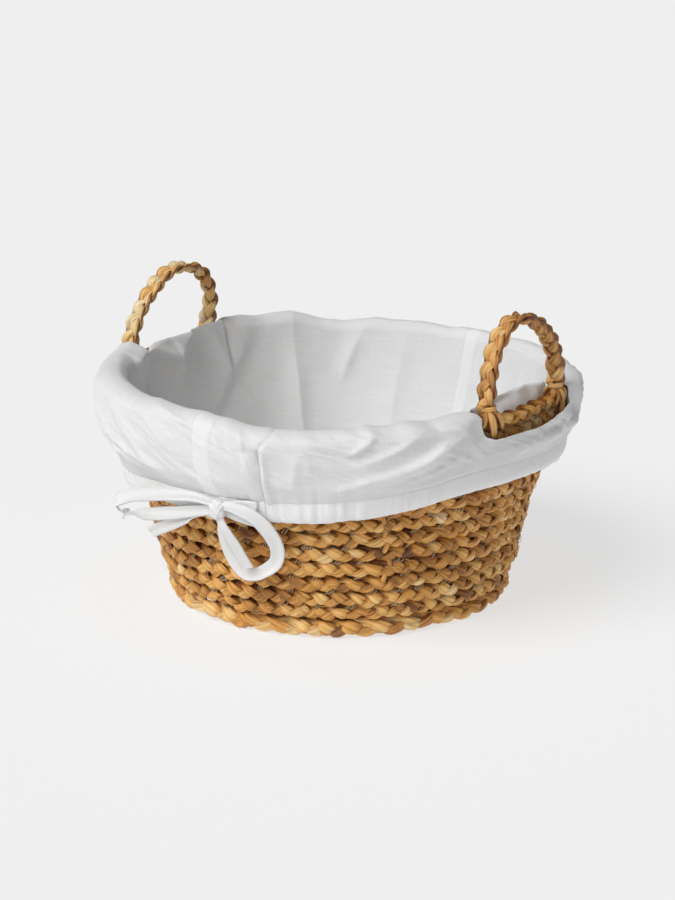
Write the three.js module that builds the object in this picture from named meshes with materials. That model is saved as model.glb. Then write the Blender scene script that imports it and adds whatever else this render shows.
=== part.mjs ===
// Round laundry basket of plaited seagrass with two arch handles and a removable cotton-linen liner.
//
// Frame: millimetres, +Z up, origin on the floor under the middle of the basket. The handles stand
// over +X and -X. The liner's bow hangs on the -Y side. Angles named psi run about +Z, from -Y
// towards +X, so psi = 90 is +X.
//
// The wall is a stack of closed plait rings on a standing foot ring; the floor of the basket is one
// plait coiled from the centre. The liner is a bag: a floor disc, two side panels that meet at a
// front and a back seam, and a cuff that folds out over the rim between the handles, ending in a
// gathered casing that holds a flat tape drawstring tied in a bow.

import * as THREE from 'three';
import { mergeVertices } from 'three/addons/utils/BufferGeometryUtils.js';

// ---------------------------------------------------------------- driving dimensions (mm)
const GAP = 0.4;                 // clearance between pieces that touch
const RIM_TOP = 211;             // top of the rim braid
const FOOT_HEIGHT = 18.2;        // height of the foot ring
const WALL_THICKNESS = 12;       // thickness of one plait
const WALL_RING_COUNT = 13;      // plait rings above the foot, the last one is the rim braid
const RING_SEGMENTS = 36;
const WALL_OUTLINE = [           // outer face of the wall, [radius, height]
  [155.5, 0], [162.2, 10], [165.4, 22], [171.8, 40], [177.5, 65], [184.2, 95],
  [194.2, 125], [203.7, 155], [212.0, 185], [218.0, 211],
];
const FOOT_INNER_RADIUS = 147.5;
const COIL_PITCH = 14;           // floor coil: distance between turns
const COIL_TURN_SEGMENTS = 20;
const COIL_BOTTOM = 1.5;
const COIL_TOP = 12.5;

const HANDLE_WIDTH = 19;         // plait width, from the basket's inside to its outside
const HANDLE_DEPTH = 10.5;       // plait depth, in the plane of the arch
const HINGE_HEIGHT = 217;        // the legs flex about this height
const RIM_CENTRE_RADIUS = 212;
const HANDLE_CHORD_X = 204.5;
const RIGHT_LEAN = 0.08;         // outward lean per mm of height
const LEFT_LEAN = -0.05;
const RIGHT_ARCH = [             // centre line, [y, z]
  [-56, 217], [-57.5, 232], [-56.5, 248], [-53.5, 266], [-46, 281], [-34, 290],
  [-18.5, 292.5], [-1, 287], [16, 276.5], [32, 262.5], [42.5, 247.5], [50.5, 230],
  [52.5, 217],
];
const LEFT_ARCH = [
  [-69, 217], [-67.5, 227], [-62.5, 238.5], [-53, 252], [-39, 263.5], [-23, 274],
  [-5.5, 282], [13, 283.5], [30, 278.5], [42, 268], [49, 254.5], [50.5, 242],
  [48.5, 229], [46, 217],
];

const LINER_THICKNESS = 2;
const LINER_SETBACK = 3.2;       // liner behind the wall's inner face
const LINER_FLOOR = 13;
const LINER_TOP = 203;
const LINER_RISE = 16;            // the bag stands this much higher behind each handle
const FRONT_SEAM = 7.5;          // psi of the seams, degrees
const BACK_SEAM = 176;
const RIGHT_SLIT = [71, 108];  // the cuff opens here for the right handle, degrees
const LEFT_SLIT = [253.5, 293];
const SLIT_HEIGHT = 192;         // the cuff hangs this low between a handle's legs
const CUFF_RADIUS = 228;         // widest point of the folded cuff
const CASING_HEIGHT = 23;
const CASING_DEPTH = 8.5;
const CASING_SLIT = 19.3;        // the drawstring comes out here, degrees
const TAPE_WIDTH = 11;
const TAPE_THICKNESS = 1.8;

// ---------------------------------------------------------------- materials
const seagrass = (r, g, b) => new THREE.MeshStandardMaterial({ color: new THREE.Color(r, g, b), roughness: 0.62, metalness: 0 });
const WALL_MATERIAL = seagrass(0.56, 0.36, 0.14);
const FOOT_MATERIAL = seagrass(0.5, 0.31, 0.12);
const HANDLE_MATERIAL = seagrass(0.6, 0.4, 0.17);
const LINEN = new THREE.MeshStandardMaterial({ color: new THREE.Color(0.86, 0.86, 0.85), roughness: 0.92, metalness: 0 });
const TAPE = new THREE.MeshStandardMaterial({ color: new THREE.Color(0.9, 0.9, 0.89), roughness: 0.85, metalness: 0 });

// ---------------------------------------------------------------- helpers
const rad = (d) => (d * Math.PI) / 180;
const basket = new THREE.Group();
basket.name = 'laundry_basket';

// A closed body from raw triangles: shared vertices merged, faces turned outward.
function closedBody(geometry) {
  let g = geometry;
  for (const name of Object.keys(g.attributes)) if (name !== 'position') g.deleteAttribute(name);
  g = mergeVertices(g, 1e-3);
  const p = g.attributes.position;
  const keep = [];
  let volume = 0;
  const a = new THREE.Vector3(), b = new THREE.Vector3(), c = new THREE.Vector3();
  for (let i = 0; i < g.index.count; i += 3) {
    const t = [g.index.getX(i), g.index.getX(i + 1), g.index.getX(i + 2)];
    if (t[0] === t[1] || t[1] === t[2] || t[2] === t[0]) continue;
    keep.push(t);
    a.fromBufferAttribute(p, t[0]); b.fromBufferAttribute(p, t[1]); c.fromBufferAttribute(p, t[2]);
    volume += a.dot(b.cross(c));
  }
  g.setIndex(keep.flatMap((t) => (volume < 0 ? [t[0], t[2], t[1]] : t)));
  g.computeVertexNormals();
  return g;
}

function fromArrays(points, triangles) {
  const g = new THREE.BufferGeometry();
  g.setAttribute('position', new THREE.Float32BufferAttribute(points.flat(), 3));
  g.setIndex(triangles.flat());
  return closedBody(g);
}

function add(name, geometry, material) {
  const mesh = new THREE.Mesh(geometry, material);
  mesh.name = name;
  basket.add(mesh);
  return mesh;
}

// The caps of a swept outline.
function capTriangles(outline) {
  const contour = outline.map(([x, y]) => new THREE.Vector2(x, y));
  const side = Math.sign(THREE.ShapeUtils.area(contour));
  return THREE.ShapeUtils.triangulateShape(contour, []).map(([i, j, k]) => {
    const s = Math.sign(THREE.ShapeUtils.area([contour[i], contour[j], contour[k]]));
    return s === side ? [i, j, k] : [i, k, j];
  });
}

// Skins a list of stations, each the same number of 3-D points around a closed outline.
function skin(stations, outlines) {
  const n = stations[0].length, m = stations.length, triangles = [];
  for (let i = 0; i < m - 1; i++) {
    for (let j = 0; j < n; j++) {
      const k = (j + 1) % n;
      triangles.push([i * n + j, (i + 1) * n + j, (i + 1) * n + k], [i * n + j, (i + 1) * n + k, i * n + k]);
    }
  }
  for (const [i, j, k] of capTriangles(outlines[0])) triangles.push([i, j, k]);
  const last = (m - 1) * n;
  for (const [i, j, k] of capTriangles(outlines[outlines.length - 1])) triangles.push([last + i, last + k, last + j]);
  return fromArrays(stations.flat(), triangles);
}

// A full ring from a closed [radius, height] outline.
function fullRing(outline, segments = RING_SEGMENTS) {
  const points = [...outline, outline[0]].map(([r, z]) => new THREE.Vector2(r, z));
  const g = new THREE.LatheGeometry(points, segments);
  g.rotateX(Math.PI / 2);
  return closedBody(g);
}

// Part of a ring; outlineAt(psi) gives the closed [radius, height] outline at that angle.
function arcSolid(outlineAt, from, to, steps) {
  const stations = [], outlines = [];
  for (let i = 0; i <= steps; i++) {
    const psi = from + ((to - from) * i) / steps;
    const outline = outlineAt(psi);
    outlines.push(outline);
    stations.push(outline.map(([r, z]) => [r * Math.sin(rad(psi)), -r * Math.cos(rad(psi)), z]));
  }
  return skin(stations, outlines);
}

const smooth = (t) => { const u = Math.min(1, Math.max(0, t)); return u * u * (3 - 2 * u); };
const wrapped = (psi) => ((psi % 360) + 360) % 360;
function table(values, x) {
  for (let i = 1; i < values.length; i++) {
    if (x <= values[i][0]) {
      const [x0, y0] = values[i - 1], [x1, y1] = values[i];
      return y0 + ((y1 - y0) * (x - x0)) / (x1 - x0);
    }
  }
  return values[values.length - 1][1];
}

// The wall's outer and inner radius at a height.
const wallCurve = new THREE.SplineCurve(WALL_OUTLINE.map(([r, z]) => new THREE.Vector2(r, z)));
const wallSamples = wallCurve.getPoints(400).map((p) => [p.y, p.x]);
const wallOuter = (z) => table(wallSamples, z);
const wallInner = (z) => wallOuter(z) - WALL_THICKNESS;

// ---------------------------------------------------------------- foot ring and floor coil
{
  const top = [];
  const c = wallOuter(FOOT_HEIGHT) - WALL_THICKNESS / 2;
  top.push([c + 4.2, FOOT_HEIGHT - 0.6], [c - 3.4, FOOT_HEIGHT + 0.4]);
  add('foot_ring_braid', fullRing([
    [FOOT_INNER_RADIUS, 1.0], [FOOT_INNER_RADIUS + 1.2, 0], [156.5, 0], [162.6, 6.5], [164.4, 13], top[0], top[1], [FOOT_INNER_RADIUS, 14],
  ], RING_SEGMENTS), FOOT_MATERIAL);
}
{
  const half = (COIL_PITCH - GAP) / 2;
  const first = half + 0.4, last = FOOT_INNER_RADIUS * Math.cos(Math.PI / RING_SEGMENTS) - GAP - half;
  const turns = (last - first) / COIL_PITCH, steps = Math.round(turns * COIL_TURN_SEGMENTS);
  const outlineAt = (rho) => [
    [rho - half + 1.6, COIL_BOTTOM], [rho + half - 1.6, COIL_BOTTOM], [rho + half, (COIL_BOTTOM + COIL_TOP) / 2],
    [rho + half - 2, COIL_TOP], [rho - half + 2, COIL_TOP], [rho - half, (COIL_BOTTOM + COIL_TOP) / 2],
  ];
  const stations = [], outlines = [];
  for (let i = 0; i <= steps; i++) {
    const u = i / steps, rho = first + (last - first) * u, a = 2 * Math.PI * turns * u;
    const outline = outlineAt(rho);
    outlines.push(outline);
    stations.push(outline.map(([r, z]) => [r * Math.sin(a), -r * Math.cos(a), z]));
  }
  add('floor_coil_braid', skin(stations, outlines), WALL_MATERIAL);
}

// ---------------------------------------------------------------- wall rings and rim braid
{
  const centre = [];
  for (let i = 0; i <= 60; i++) {
    const z = FOOT_HEIGHT + ((RIM_TOP - FOOT_HEIGHT) * i) / 60;
    centre.push(new THREE.Vector2(wallOuter(z) - WALL_THICKNESS / 2, z));
  }
  const path = new THREE.SplineCurve(centre);
  path.arcLengthDivisions = 2000;
  const at = (u) => {
    const p = path.getPointAt(u), t = path.getTangentAt(u);
    return { p, t, n: new THREE.Vector2(t.y, -t.x) };
  };
  const point = (q, along, out) => [q.p.x + q.t.x * along + q.n.x * out, q.p.y + q.t.y * along + q.n.y * out];
  for (let i = 0; i < WALL_RING_COUNT; i++) {
    const low = at(i / WALL_RING_COUNT), mid = at((i + 0.5) / WALL_RING_COUNT), high = at((i + 1) / WALL_RING_COUNT);
    const rim = i === WALL_RING_COUNT - 1;
    const h = GAP / 2 + (i === 0 ? 0.5 : 0), b = WALL_THICKNESS / 2;
    const outline = [
      point(low, h, -3.4), point(low, h, 3.4), point(mid, 0, b), point(high, rim ? -1.2 : -GAP / 2, 3.4),
      point(high, rim ? -1.2 : -GAP / 2, -3.4), point(mid, 0, -b),
    ];
    const name = rim ? 'rim_braid' : `wall_braid_${String(i + 1).padStart(2, '0')}`;
    add(name, fullRing(outline), WALL_MATERIAL);
  }
}

// ---------------------------------------------------------------- handles and their tucked ends
const archX = (y, z, side, lean) =>
  side * (0.5 * Math.sqrt(RIM_CENTRE_RADIUS ** 2 - y * y) + 0.5 * HANDLE_CHORD_X + lean * (z - RIM_CENTRE_RADIUS));

function archHandle(name, arch, side, lean) {
  const curve = new THREE.CatmullRomCurve3(arch.map(([y, z]) => new THREE.Vector3(archX(y, z, side, lean), y, z)), false, 'centripetal');
  const steps = 34, sides = 8, stations = [], outlines = [];
  for (let i = 0; i <= steps; i++) {
    const u = i / steps, p = curve.getPointAt(u), t = curve.getTangentAt(u);
    const through = new THREE.Vector3(1, 0, 0).addScaledVector(t, -t.x).normalize();
    const across = new THREE.Vector3().crossVectors(t, through);
    const foot = Math.min(i, steps - i);
    const size = foot === 0 ? 0.72 : foot === 1 ? 0.9 : 1;
    const station = [], outline = [];
    for (let j = 0; j < sides; j++) {
      const a = (2 * Math.PI * (j + 0.5)) / sides;
      const x = (size * Math.cos(a) * HANDLE_DEPTH) / 2, y = (size * Math.sin(a) * HANDLE_WIDTH) / 2;
      const q = p.clone().addScaledVector(across, x).addScaledVector(through, y);
      station.push([q.x, q.y, q.z]);
      outline.push([x, y]);
    }
    stations.push(station);
    outlines.push(outline);
  }
  add(name, skin(stations, outlines), HANDLE_MATERIAL);
}
archHandle('handle_left_braid', LEFT_ARCH, -1, LEFT_LEAN);
archHandle('handle_right_braid', RIGHT_ARCH, 1, RIGHT_LEAN);

// Where a handle's leg meets the rim its strands fork over the rim braid and are tucked down both
// faces of the wall: a saddle in section, as wide as the leg.
function tuckedEnd(name, psi) {
  const outerTop = wallOuter(205) + 0.9, outerLow = wallOuter(184) + 1.3;
  const innerTop = 203.6, crown = RIM_TOP + 0.5;
  const outline = [
    [innerTop - 3.2, 204.4], [innerTop - 0.6, 204.4], [innerTop + 2.4, crown], [outerTop - 1.2, crown],
    [outerTop + 0.4, 205], [outerLow + 0.5, 186], [outerLow + 4.2, 186.5], [outerTop + 4.4, 206],
    [outerTop + 1.5, 213.6], [innerTop + 0.6, 213.8], [innerTop - 3.2, 209],
  ];
  const half = 2.25;
  add(name, arcSolid(() => outline, psi - half, psi + half, 2), HANDLE_MATERIAL);
}
const legPsi = (y, side) => (side > 0 ? 90 + (Math.asin(y / RIM_CENTRE_RADIUS) * 180) / Math.PI : 270 - (Math.asin(y / RIM_CENTRE_RADIUS) * 180) / Math.PI);
tuckedEnd('handle_right_tucked_end_front', legPsi(-56, 1));
tuckedEnd('handle_right_tucked_end_back', legPsi(52.5, 1));
tuckedEnd('handle_left_tucked_end_front', legPsi(-69, -1));
tuckedEnd('handle_left_tucked_end_back', legPsi(46, -1));

// ---------------------------------------------------------------- liner bag
// Behind a handle the side panel pulls straight across between the legs, clear of the arch.
function linerOuter(psi, z) {
  const low = FOOT_INNER_RADIUS - 1.4;
  const base = z < 20 ? low : Math.min(wallInner(z) - LINER_SETBACK, low + (z - 20) * 1.2);
  const p = wrapped(psi);
  let r = base;
  for (const [from, to] of [RIGHT_SLIT, LEFT_SLIT]) {
    const mid = (from + to) / 2, half = (to - from) / 2, off = p - mid;
    if (Math.abs(off) < half) {
      const chord = (base * Math.cos(rad(half))) / Math.cos(rad(off));
      r = base + (chord - base) * smooth((z - 120) / 60);
    }
  }
  return r;
}
{
  add('liner_floor', fullRing([
    [0.5, LINER_FLOOR], [143.2, LINER_FLOOR], [143.2, LINER_FLOOR + LINER_THICKNESS], [0.5, LINER_FLOOR + LINER_THICKNESS],
  ].map(([r, z]) => [r, z]), 24), LINEN);
  // The panels stop a little short of each other along the two seams.
  const topAt = (psi) => {
    let rise = 0;
    for (const [from, to] of [RIGHT_SLIT, LEFT_SLIT]) rise = Math.max(rise, smooth(((to - from) / 2 - 7.5 - Math.abs(wrapped(psi) - (from + to) / 2)) / 4));
    return LINER_TOP + LINER_RISE * rise;
  };
  const outlineAt = (psi) => {
    const levels = [13, 20, 60, 110, 150, 180, topAt(psi)];
    return [
      ...levels.map((z) => [linerOuter(psi, z), z]),
      ...levels.slice().reverse().map((z) => [linerOuter(psi, z) - LINER_THICKNESS, z]),
    ];
  };
  const seam = 0.12;
  add('liner_side_right', arcSolid(outlineAt, FRONT_SEAM + seam, BACK_SEAM - seam, 18), LINEN);
  add('liner_side_left', arcSolid(outlineAt, BACK_SEAM + seam, 360 + FRONT_SEAM - seam, 20), LINEN);
}

// ---------------------------------------------------------------- folded cuff
// Height of the cuff's lower edge round the basket: low on the left, caught up under the right handle.
const HEM = [
  [0, 121], [22, 120.5], [35, 123], [46, 127], [55, 132.5], [65, 140], [72, 143.5], [94, 143],
  [110, 141], [140, 131], [180, 120], [225, 111], [270, 105], [307, 103.5], [330, 113], [345, 119.5], [360, 121],
];
const hemAt = (psi) => table(HEM, wrapped(psi));
const casingInner = (z) => wallOuter(z) + 1.0;

function cuffOutline(psi, fromSlit) {
  const hem = hemAt(psi), top = hem + CASING_HEIGHT + 1;
  const join = casingInner(top) + CASING_DEPTH;
  const drop = (z) => table([[hem, join], [top, join], [158, Math.max(join + 0.5, 221)], [180, 225.6], [196, 227.6], [206, CUFF_RADIUS], [260, CUFF_RADIUS]], z);
  const z1 = 206, z2 = 190, z3 = 172, z4 = (172 + top) / 2;
  const t = LINER_THICKNESS;
  if (fromSlit) {
    const z0 = SLIT_HEIGHT;
    const lip = 225.9;
    return [
      [lip - t, z0], [lip, z0], [drop(182), 182], [drop(z3), z3], [drop(z4), z4], [join, top],
      [join - t, top], [drop(z4) - t, z4], [drop(z3) - t, z3], [drop(182) - t, 182],
    ];
  }
  const b = LINER_TOP + GAP;
  return [
    [200.8, b], [202.8, 209.8], [208.5, 213.8], [219.5, 213.8], [225.6, 211.4], [drop(z1), z1], [drop(z2), z2], [drop(z3), z3], [drop(z4), z4], [join, top],
    [join - t, top], [drop(z4) - t, z4], [drop(z3) - t, z3], [drop(z2) - t, z2], [drop(z1) - t, z1 - 0.4], [224.2, 209.8], [219, 212], [209.2, 212], [204.2, 208.8], [202.7, b],
  ];
}
const cut = 0.12;
add('cuff_front_right', arcSolid((p) => cuffOutline(p, false), FRONT_SEAM + cut, RIGHT_SLIT[0] - cut, 7), LINEN);
add('cuff_right_handle_flap', arcSolid((p) => cuffOutline(p, true), RIGHT_SLIT[0] + cut, RIGHT_SLIT[1] - cut, 4), LINEN);
add('cuff_back_right', arcSolid((p) => cuffOutline(p, false), RIGHT_SLIT[1] + cut, BACK_SEAM - cut, 7), LINEN);
add('cuff_back_left', arcSolid((p) => cuffOutline(p, false), BACK_SEAM + cut, LEFT_SLIT[0] - cut, 7), LINEN);
add('cuff_left_handle_flap', arcSolid((p) => cuffOutline(p, true), LEFT_SLIT[0] + cut, LEFT_SLIT[1] - cut, 4), LINEN);
add('cuff_front_left', arcSolid((p) => cuffOutline(p, false), LEFT_SLIT[1] + cut, 360 + FRONT_SEAM - cut, 8), LINEN);

// ---------------------------------------------------------------- casing and the tape inside it
// The casing is a channel, open towards the wall, that runs all round and stops at the slit.
{
  const channel = (psi) => {
    const z0 = hemAt(psi), z1 = z0 + CASING_HEIGHT, t = 1.6;
    const outer = (z) => casingInner(z) + CASING_DEPTH, inner = (z) => casingInner(z);
    return [
      [inner(z0 + 2), z0], [outer(z0) - 1.5, z0], [outer(z0 + 4), z0 + 4], [outer(z1 - 3), z1 - 3], [outer(z1) - 1.0, z1], [inner(z1), z1],
      [inner(z1), z1 - t], [outer(z1 - 3) - t - 1.0, z1 - t - 1], [outer(z0 + 4) - t - 0.4, z0 + 4], [inner(z0 + 2), z0 + t],
    ];
  };
  add('hem_casing', arcSolid(channel, CASING_SLIT + 0.6, 360 + CASING_SLIT - 0.6, 44), LINEN);
  const run = (psi) => {
    const z0 = hemAt(psi) + 5.2, z1 = z0 + TAPE_WIDTH, r = (z) => casingInner(z) + 3.0;
    return [[r(z0), z0], [r(z0) + 1.6, z0], [r(z1) + 1.6, z1], [r(z1), z1]];
  };
  add('drawstring_run_in_casing', arcSolid(run, CASING_SLIT + 1.2, 360 + CASING_SLIT - 1.2, 44), TAPE);
}

// ---------------------------------------------------------------- bow
// A flat tape along a smooth route. face(u) is the direction its broad side looks.
function tape(name, route, faces) {
  const curve = new THREE.CatmullRomCurve3(route.map((p) => new THREE.Vector3(...p)), false, 'centripetal');
  const length = curve.getLength(), steps = Math.max(4, Math.min(60, Math.round(length / 7.5)));
  const stations = [], outlines = [];
  for (let i = 0; i <= steps; i++) {
    const u = i / steps, p = curve.getPointAt(u), t = curve.getTangentAt(u);
    const k = u * (faces.length - 1), j = Math.min(faces.length - 2, Math.floor(k));
    const face = new THREE.Vector3(...faces[j]).lerp(new THREE.Vector3(...faces[j + 1]), k - j);
    face.addScaledVector(t, -t.dot(face)).normalize();
    const side = new THREE.Vector3().crossVectors(t, face);
    const station = [], outline = [];
    for (let n = 0; n < 8; n++) {
      const a = (2 * Math.PI * (n + 0.5)) / 8;
      const x = ((Math.cos(a) / Math.cos(Math.PI / 8)) * TAPE_WIDTH) / 2, y = ((Math.sin(a) / Math.cos(Math.PI / 8)) * TAPE_THICKNESS) / 2;
      const q = p.clone().addScaledVector(side, x).addScaledVector(face, y);
      station.push([q.x, q.y, q.z]);
      outline.push([x, y]);
    }
    stations.push(station);
    outlines.push(outline);
  }
  add(name, skin(stations, outlines), TAPE);
}
const FRONT = [0.1, -0.995, 0];
const OUT = (x, y) => [x, y, 0.12];
{
  const knot = new THREE.SphereGeometry(1, 10, 7);
  knot.rotateX(Math.PI / 2);
  knot.scale(8.2, 7.0, 9.5);
  knot.rotateZ(rad(7.5));
  knot.translate(27.6, -213.4, 130.4);
  add('bow_knot', closedBody(knot), TAPE);
}
tape('bow_loop_left', [
  [18.2, -215.4, 136.6], [4.1, -217.2, 138.2], [-24.3, -218.0, 135.5], [-53.8, -218.3, 130.3], [-76.7, -218.0, 124.4],
  [-90.7, -216.3, 115.2], [-84.5, -214.2, 106.6], [-58.6, -212.2, 109.7], [-24.1, -211.6, 117.2], [5, -211.2, 124.6], [18.0, -210.8, 127.8],
], [FRONT, FRONT]);
tape('bow_tail_left', [
  [18.6, -206.8, 121.2], [3.0, -207.3, 119.2], [-14.5, -207.2, 113.4], [-39.7, -206.3, 100.7], [-58.6, -205.6, 91.2],
], [FRONT, FRONT]);
tape('bow_loop_right', [
  [38.2, -213.4, 135.6], [49.2, -211.4, 134.6], [63.4, -205.8, 129.3], [73.2, -197.6, 116.4], [75.7, -188.9, 97.7], [72.6, -185.2, 83.1],
  [62.1, -185.0, 70.7], [48.3, -186.4, 64.5], [36.0, -188.0, 66.5], [26.6, -191.6, 76.8], [22.3, -196.5, 90.1], [22.8, -202.4, 105.4], [27.2, -208.0, 116.4],
], [OUT(0.2, -0.98), OUT(0.36, -0.93), OUT(0.36, -0.93), OUT(0.2, -0.97), OUT(0.1, -0.99)]);
tape('bow_tail_right', [
  [32.0, -213.6, 118.2], [36.5, -210.6, 108.4], [40.9, -204.3, 95.8], [44.3, -197.7, 81.8], [45.6, -194.2, 74.8],
], [OUT(0.2, -0.98), OUT(0.2, -0.98)]);
tape('drawstring_lead_upper', [[63.0, -203.0, 135.6], [54.3, -207.0, 136.6], [47, -208.9, 136.0], [38.8, -209.6, 134.6]].map(([x, y, z]) => [x, y + 0.4, z]), [OUT(0.3, -0.95), OUT(0.2, -0.98)]);
tape('drawstring_lead_lower', [[62.4, -200.9, 123.2], [53.4, -204.1, 124.2], [46, -205.6, 125.0], [38.2, -206.6, 126.0]], [OUT(0.3, -0.95), OUT(0.2, -0.98)]);

export default basket;
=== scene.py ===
import math

import bpy
import numpy as np
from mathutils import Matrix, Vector


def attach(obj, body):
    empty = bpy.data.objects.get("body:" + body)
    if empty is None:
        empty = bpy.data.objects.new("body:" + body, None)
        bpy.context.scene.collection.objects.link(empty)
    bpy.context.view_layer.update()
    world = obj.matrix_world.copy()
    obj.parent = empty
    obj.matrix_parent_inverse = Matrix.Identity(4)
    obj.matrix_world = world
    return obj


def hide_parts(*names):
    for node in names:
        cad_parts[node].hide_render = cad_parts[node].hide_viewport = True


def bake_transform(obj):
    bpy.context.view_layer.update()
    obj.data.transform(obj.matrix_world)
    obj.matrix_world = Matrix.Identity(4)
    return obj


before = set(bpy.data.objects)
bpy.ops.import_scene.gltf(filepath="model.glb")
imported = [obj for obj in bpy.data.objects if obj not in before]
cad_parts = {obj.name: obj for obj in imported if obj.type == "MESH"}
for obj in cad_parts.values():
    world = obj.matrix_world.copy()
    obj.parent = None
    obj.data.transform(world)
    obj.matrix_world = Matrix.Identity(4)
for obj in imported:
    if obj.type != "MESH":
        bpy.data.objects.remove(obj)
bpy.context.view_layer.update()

MM = 0.001
TAU = 2 * math.pi


# ------------------------------------------------------------------ camera
def build_camera():
    az, el, dist = math.radians(37.3), math.radians(15.73), 2.2
    target = Vector((-0.00204 * math.cos(az), -0.00204 * math.sin(az), 0.13208))
    back = Vector((math.sin(az) * math.cos(el), -math.cos(az) * math.cos(el), math.sin(el)))
    cam = bpy.data.cameras.new("camera")
    cam.sensor_width = 36.0
    cam.sensor_fit = "AUTO"
    cam.lens = 36.0 * 2304.5 / 900.0
    cam.clip_start, cam.clip_end = 0.05, 100.0
    ob = bpy.data.objects.new("camera", cam)
    ob.location = target + dist * back
    ob.rotation_euler = (target - ob.location).to_track_quat("-Z", "Y").to_euler()
    bpy.context.scene.collection.objects.link(ob)
    bpy.context.scene.camera = ob


build_camera()


# ------------------------------------------------------------------ dimensions, mm
FOOT_HEIGHT, RIM_TOP, WALL_T, RINGS = 18.2, 211.0, 12.0, 13
WALL_OUTLINE = [
    (155.5, 0), (162.2, 10), (165.4, 22), (171.8, 40), (177.5, 65), (184.2, 95),
    (194.2, 125), (203.7, 155), (212.0, 185), (218.0, 211),
]
RIM_R, CHORD_X = 212.0, 204.5
RIGHT_ARCH = [
    (-56, 217), (-57.5, 232), (-56.5, 248), (-53.5, 266), (-46, 281), (-34, 290),
    (-18.5, 292.5), (-1, 287), (16, 276.5), (32, 262.5), (42.5, 247.5), (50.5, 230),
    (52.5, 217),
]
LEFT_ARCH = [
    (-69, 217), (-67.5, 227), (-62.5, 238.5), (-53, 252), (-39, 263.5), (-23, 274),
    (-5.5, 282), (13, 283.5), (30, 278.5), (42, 268), (49, 254.5), (50.5, 242),
    (48.5, 229), (46, 217),
]
RIGHT_LEAN, LEFT_LEAN = 0.08, -0.05
RIGHT_SLIT, LEFT_SLIT = (71.0, 108.0), (253.5, 293.0)
FRONT_SEAM, BACK_SEAM, CASING_SLIT = 7.5, 176.0, 19.3
CASING_H = 20.0
HEM = [
    (0, 121), (22, 120.5), (35, 123), (46, 127), (55, 132.5), (65, 140), (72, 143.5), (94, 143),
    (110, 141), (140, 131), (180, 120), (225, 111), (270, 105), (307, 103.5), (330, 113), (345, 119.5), (360, 121),
]


# ------------------------------------------------------------------ small maths
def catmull(points, per=24, alpha=0.0):
    """Smooth points through a list, uniform (alpha 0) or centripetal (alpha 0.5)."""
    p = np.asarray(points, float)
    ends = np.vstack([2 * p[0] - p[1], p, 2 * p[-1] - p[-2]])
    out = []
    for i in range(1, len(ends) - 2):
        p0, p1, p2, p3 = ends[i - 1 : i + 3]
        t = np.linspace(0, 1, per, endpoint=False)[:, None]
        if alpha == 0:
            out.append(
                0.5 * ((2 * p1) + (p2 - p0) * t + (2 * p0 - 5 * p1 + 4 * p2 - p3) * t**2 + (3 * p1 - p0 - 3 * p2 + p3) * t**3)
            )
        else:
            d = [max(np.linalg.norm(b - a) ** alpha, 1e-4) for a, b in ((p0, p1), (p1, p2), (p2, p3))]
            m1 = (p1 - p0) / d[0] - (p2 - p0) / (d[0] + d[1]) + (p2 - p1) / d[1]
            m2 = (p2 - p1) / d[1] - (p3 - p1) / (d[1] + d[2]) + (p3 - p2) / d[2]
            m1, m2 = m1 * d[1], m2 * d[1]
            out.append(
                p1 + m1 * t + (-3 * p1 + 3 * p2 - 2 * m1 - m2) * t**2 + (2 * p1 - 2 * p2 + m1 + m2) * t**3
            )
    out.append(ends[-2][None, :])
    return np.vstack(out)


def even(points, step):
    """The same line with evenly spaced points, about step apart, and its length."""
    s = np.concatenate([[0], np.cumsum(np.linalg.norm(np.diff(points, axis=0), axis=1))])
    n = max(4, int(round(s[-1] / step)) + 1)
    at = np.linspace(0, s[-1], n)
    return np.stack([np.interp(at, s, points[:, k]) for k in range(points.shape[1])], 1), s[-1]


def unit(v):
    return v / np.maximum(np.linalg.norm(v, axis=-1, keepdims=True), 1e-12)


def smooth(t):
    u = np.clip(t, 0, 1)
    return u * u * (3 - 2 * u)


def ring_point(psi, r, z):
    """psi in radians about +Z, from -Y towards +X."""
    return np.stack([r * np.sin(psi), -r * np.cos(psi), z + 0 * psi], -1)


def waves(x, low, high, count, rng):
    """A smooth wandering value of about unit size, periodic over TAU."""
    f = rng.integers(low, high + 1, count)
    ph = rng.uniform(0, TAU, count)
    w = rng.uniform(0.5, 1.0, count)
    return (w[:, None] * np.sin(np.outer(f, x.ravel()) + ph[:, None])).sum(0).reshape(x.shape) / math.sqrt((w**2).sum() / 2) * 0.7


_GRAD = unit(np.random.default_rng(11).normal(size=(256, 3)))
_PERM = np.random.default_rng(12).permutation(256)
_PERM = np.concatenate([_PERM, _PERM, _PERM])


def noise3(x, y, z):
    """Gradient noise, about -1 to 1."""
    xi, yi, zi = (np.floor(v).astype(int) for v in (x, y, z))
    xf, yf, zf = x - xi, y - yi, z - zi
    u, v, w = (t * t * t * (t * (t * 6 - 15) + 10) for t in (xf, yf, zf))
    total = 0.0
    for dx in (0, 1):
        for dy in (0, 1):
            for dz in (0, 1):
                h = _PERM[_PERM[_PERM[(xi + dx) & 255] + ((yi + dy) & 255)] + ((zi + dz) & 255)] & 255
                g = _GRAD[h]
                dot = g[..., 0] * (xf - dx) + g[..., 1] * (yf - dy) + g[..., 2] * (zf - dz)
                total = total + dot * (u if dx else 1 - u) * (v if dy else 1 - v) * (w if dz else 1 - w)
    return total * 1.5


_wall = catmull(WALL_OUTLINE, 44)


def wall_outer(z):
    return np.interp(z, _wall[:, 1], _wall[:, 0])


def hem_at(psi_deg):
    return np.interp(np.mod(psi_deg, 360), [h[0] for h in HEM], [h[1] for h in HEM])


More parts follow.
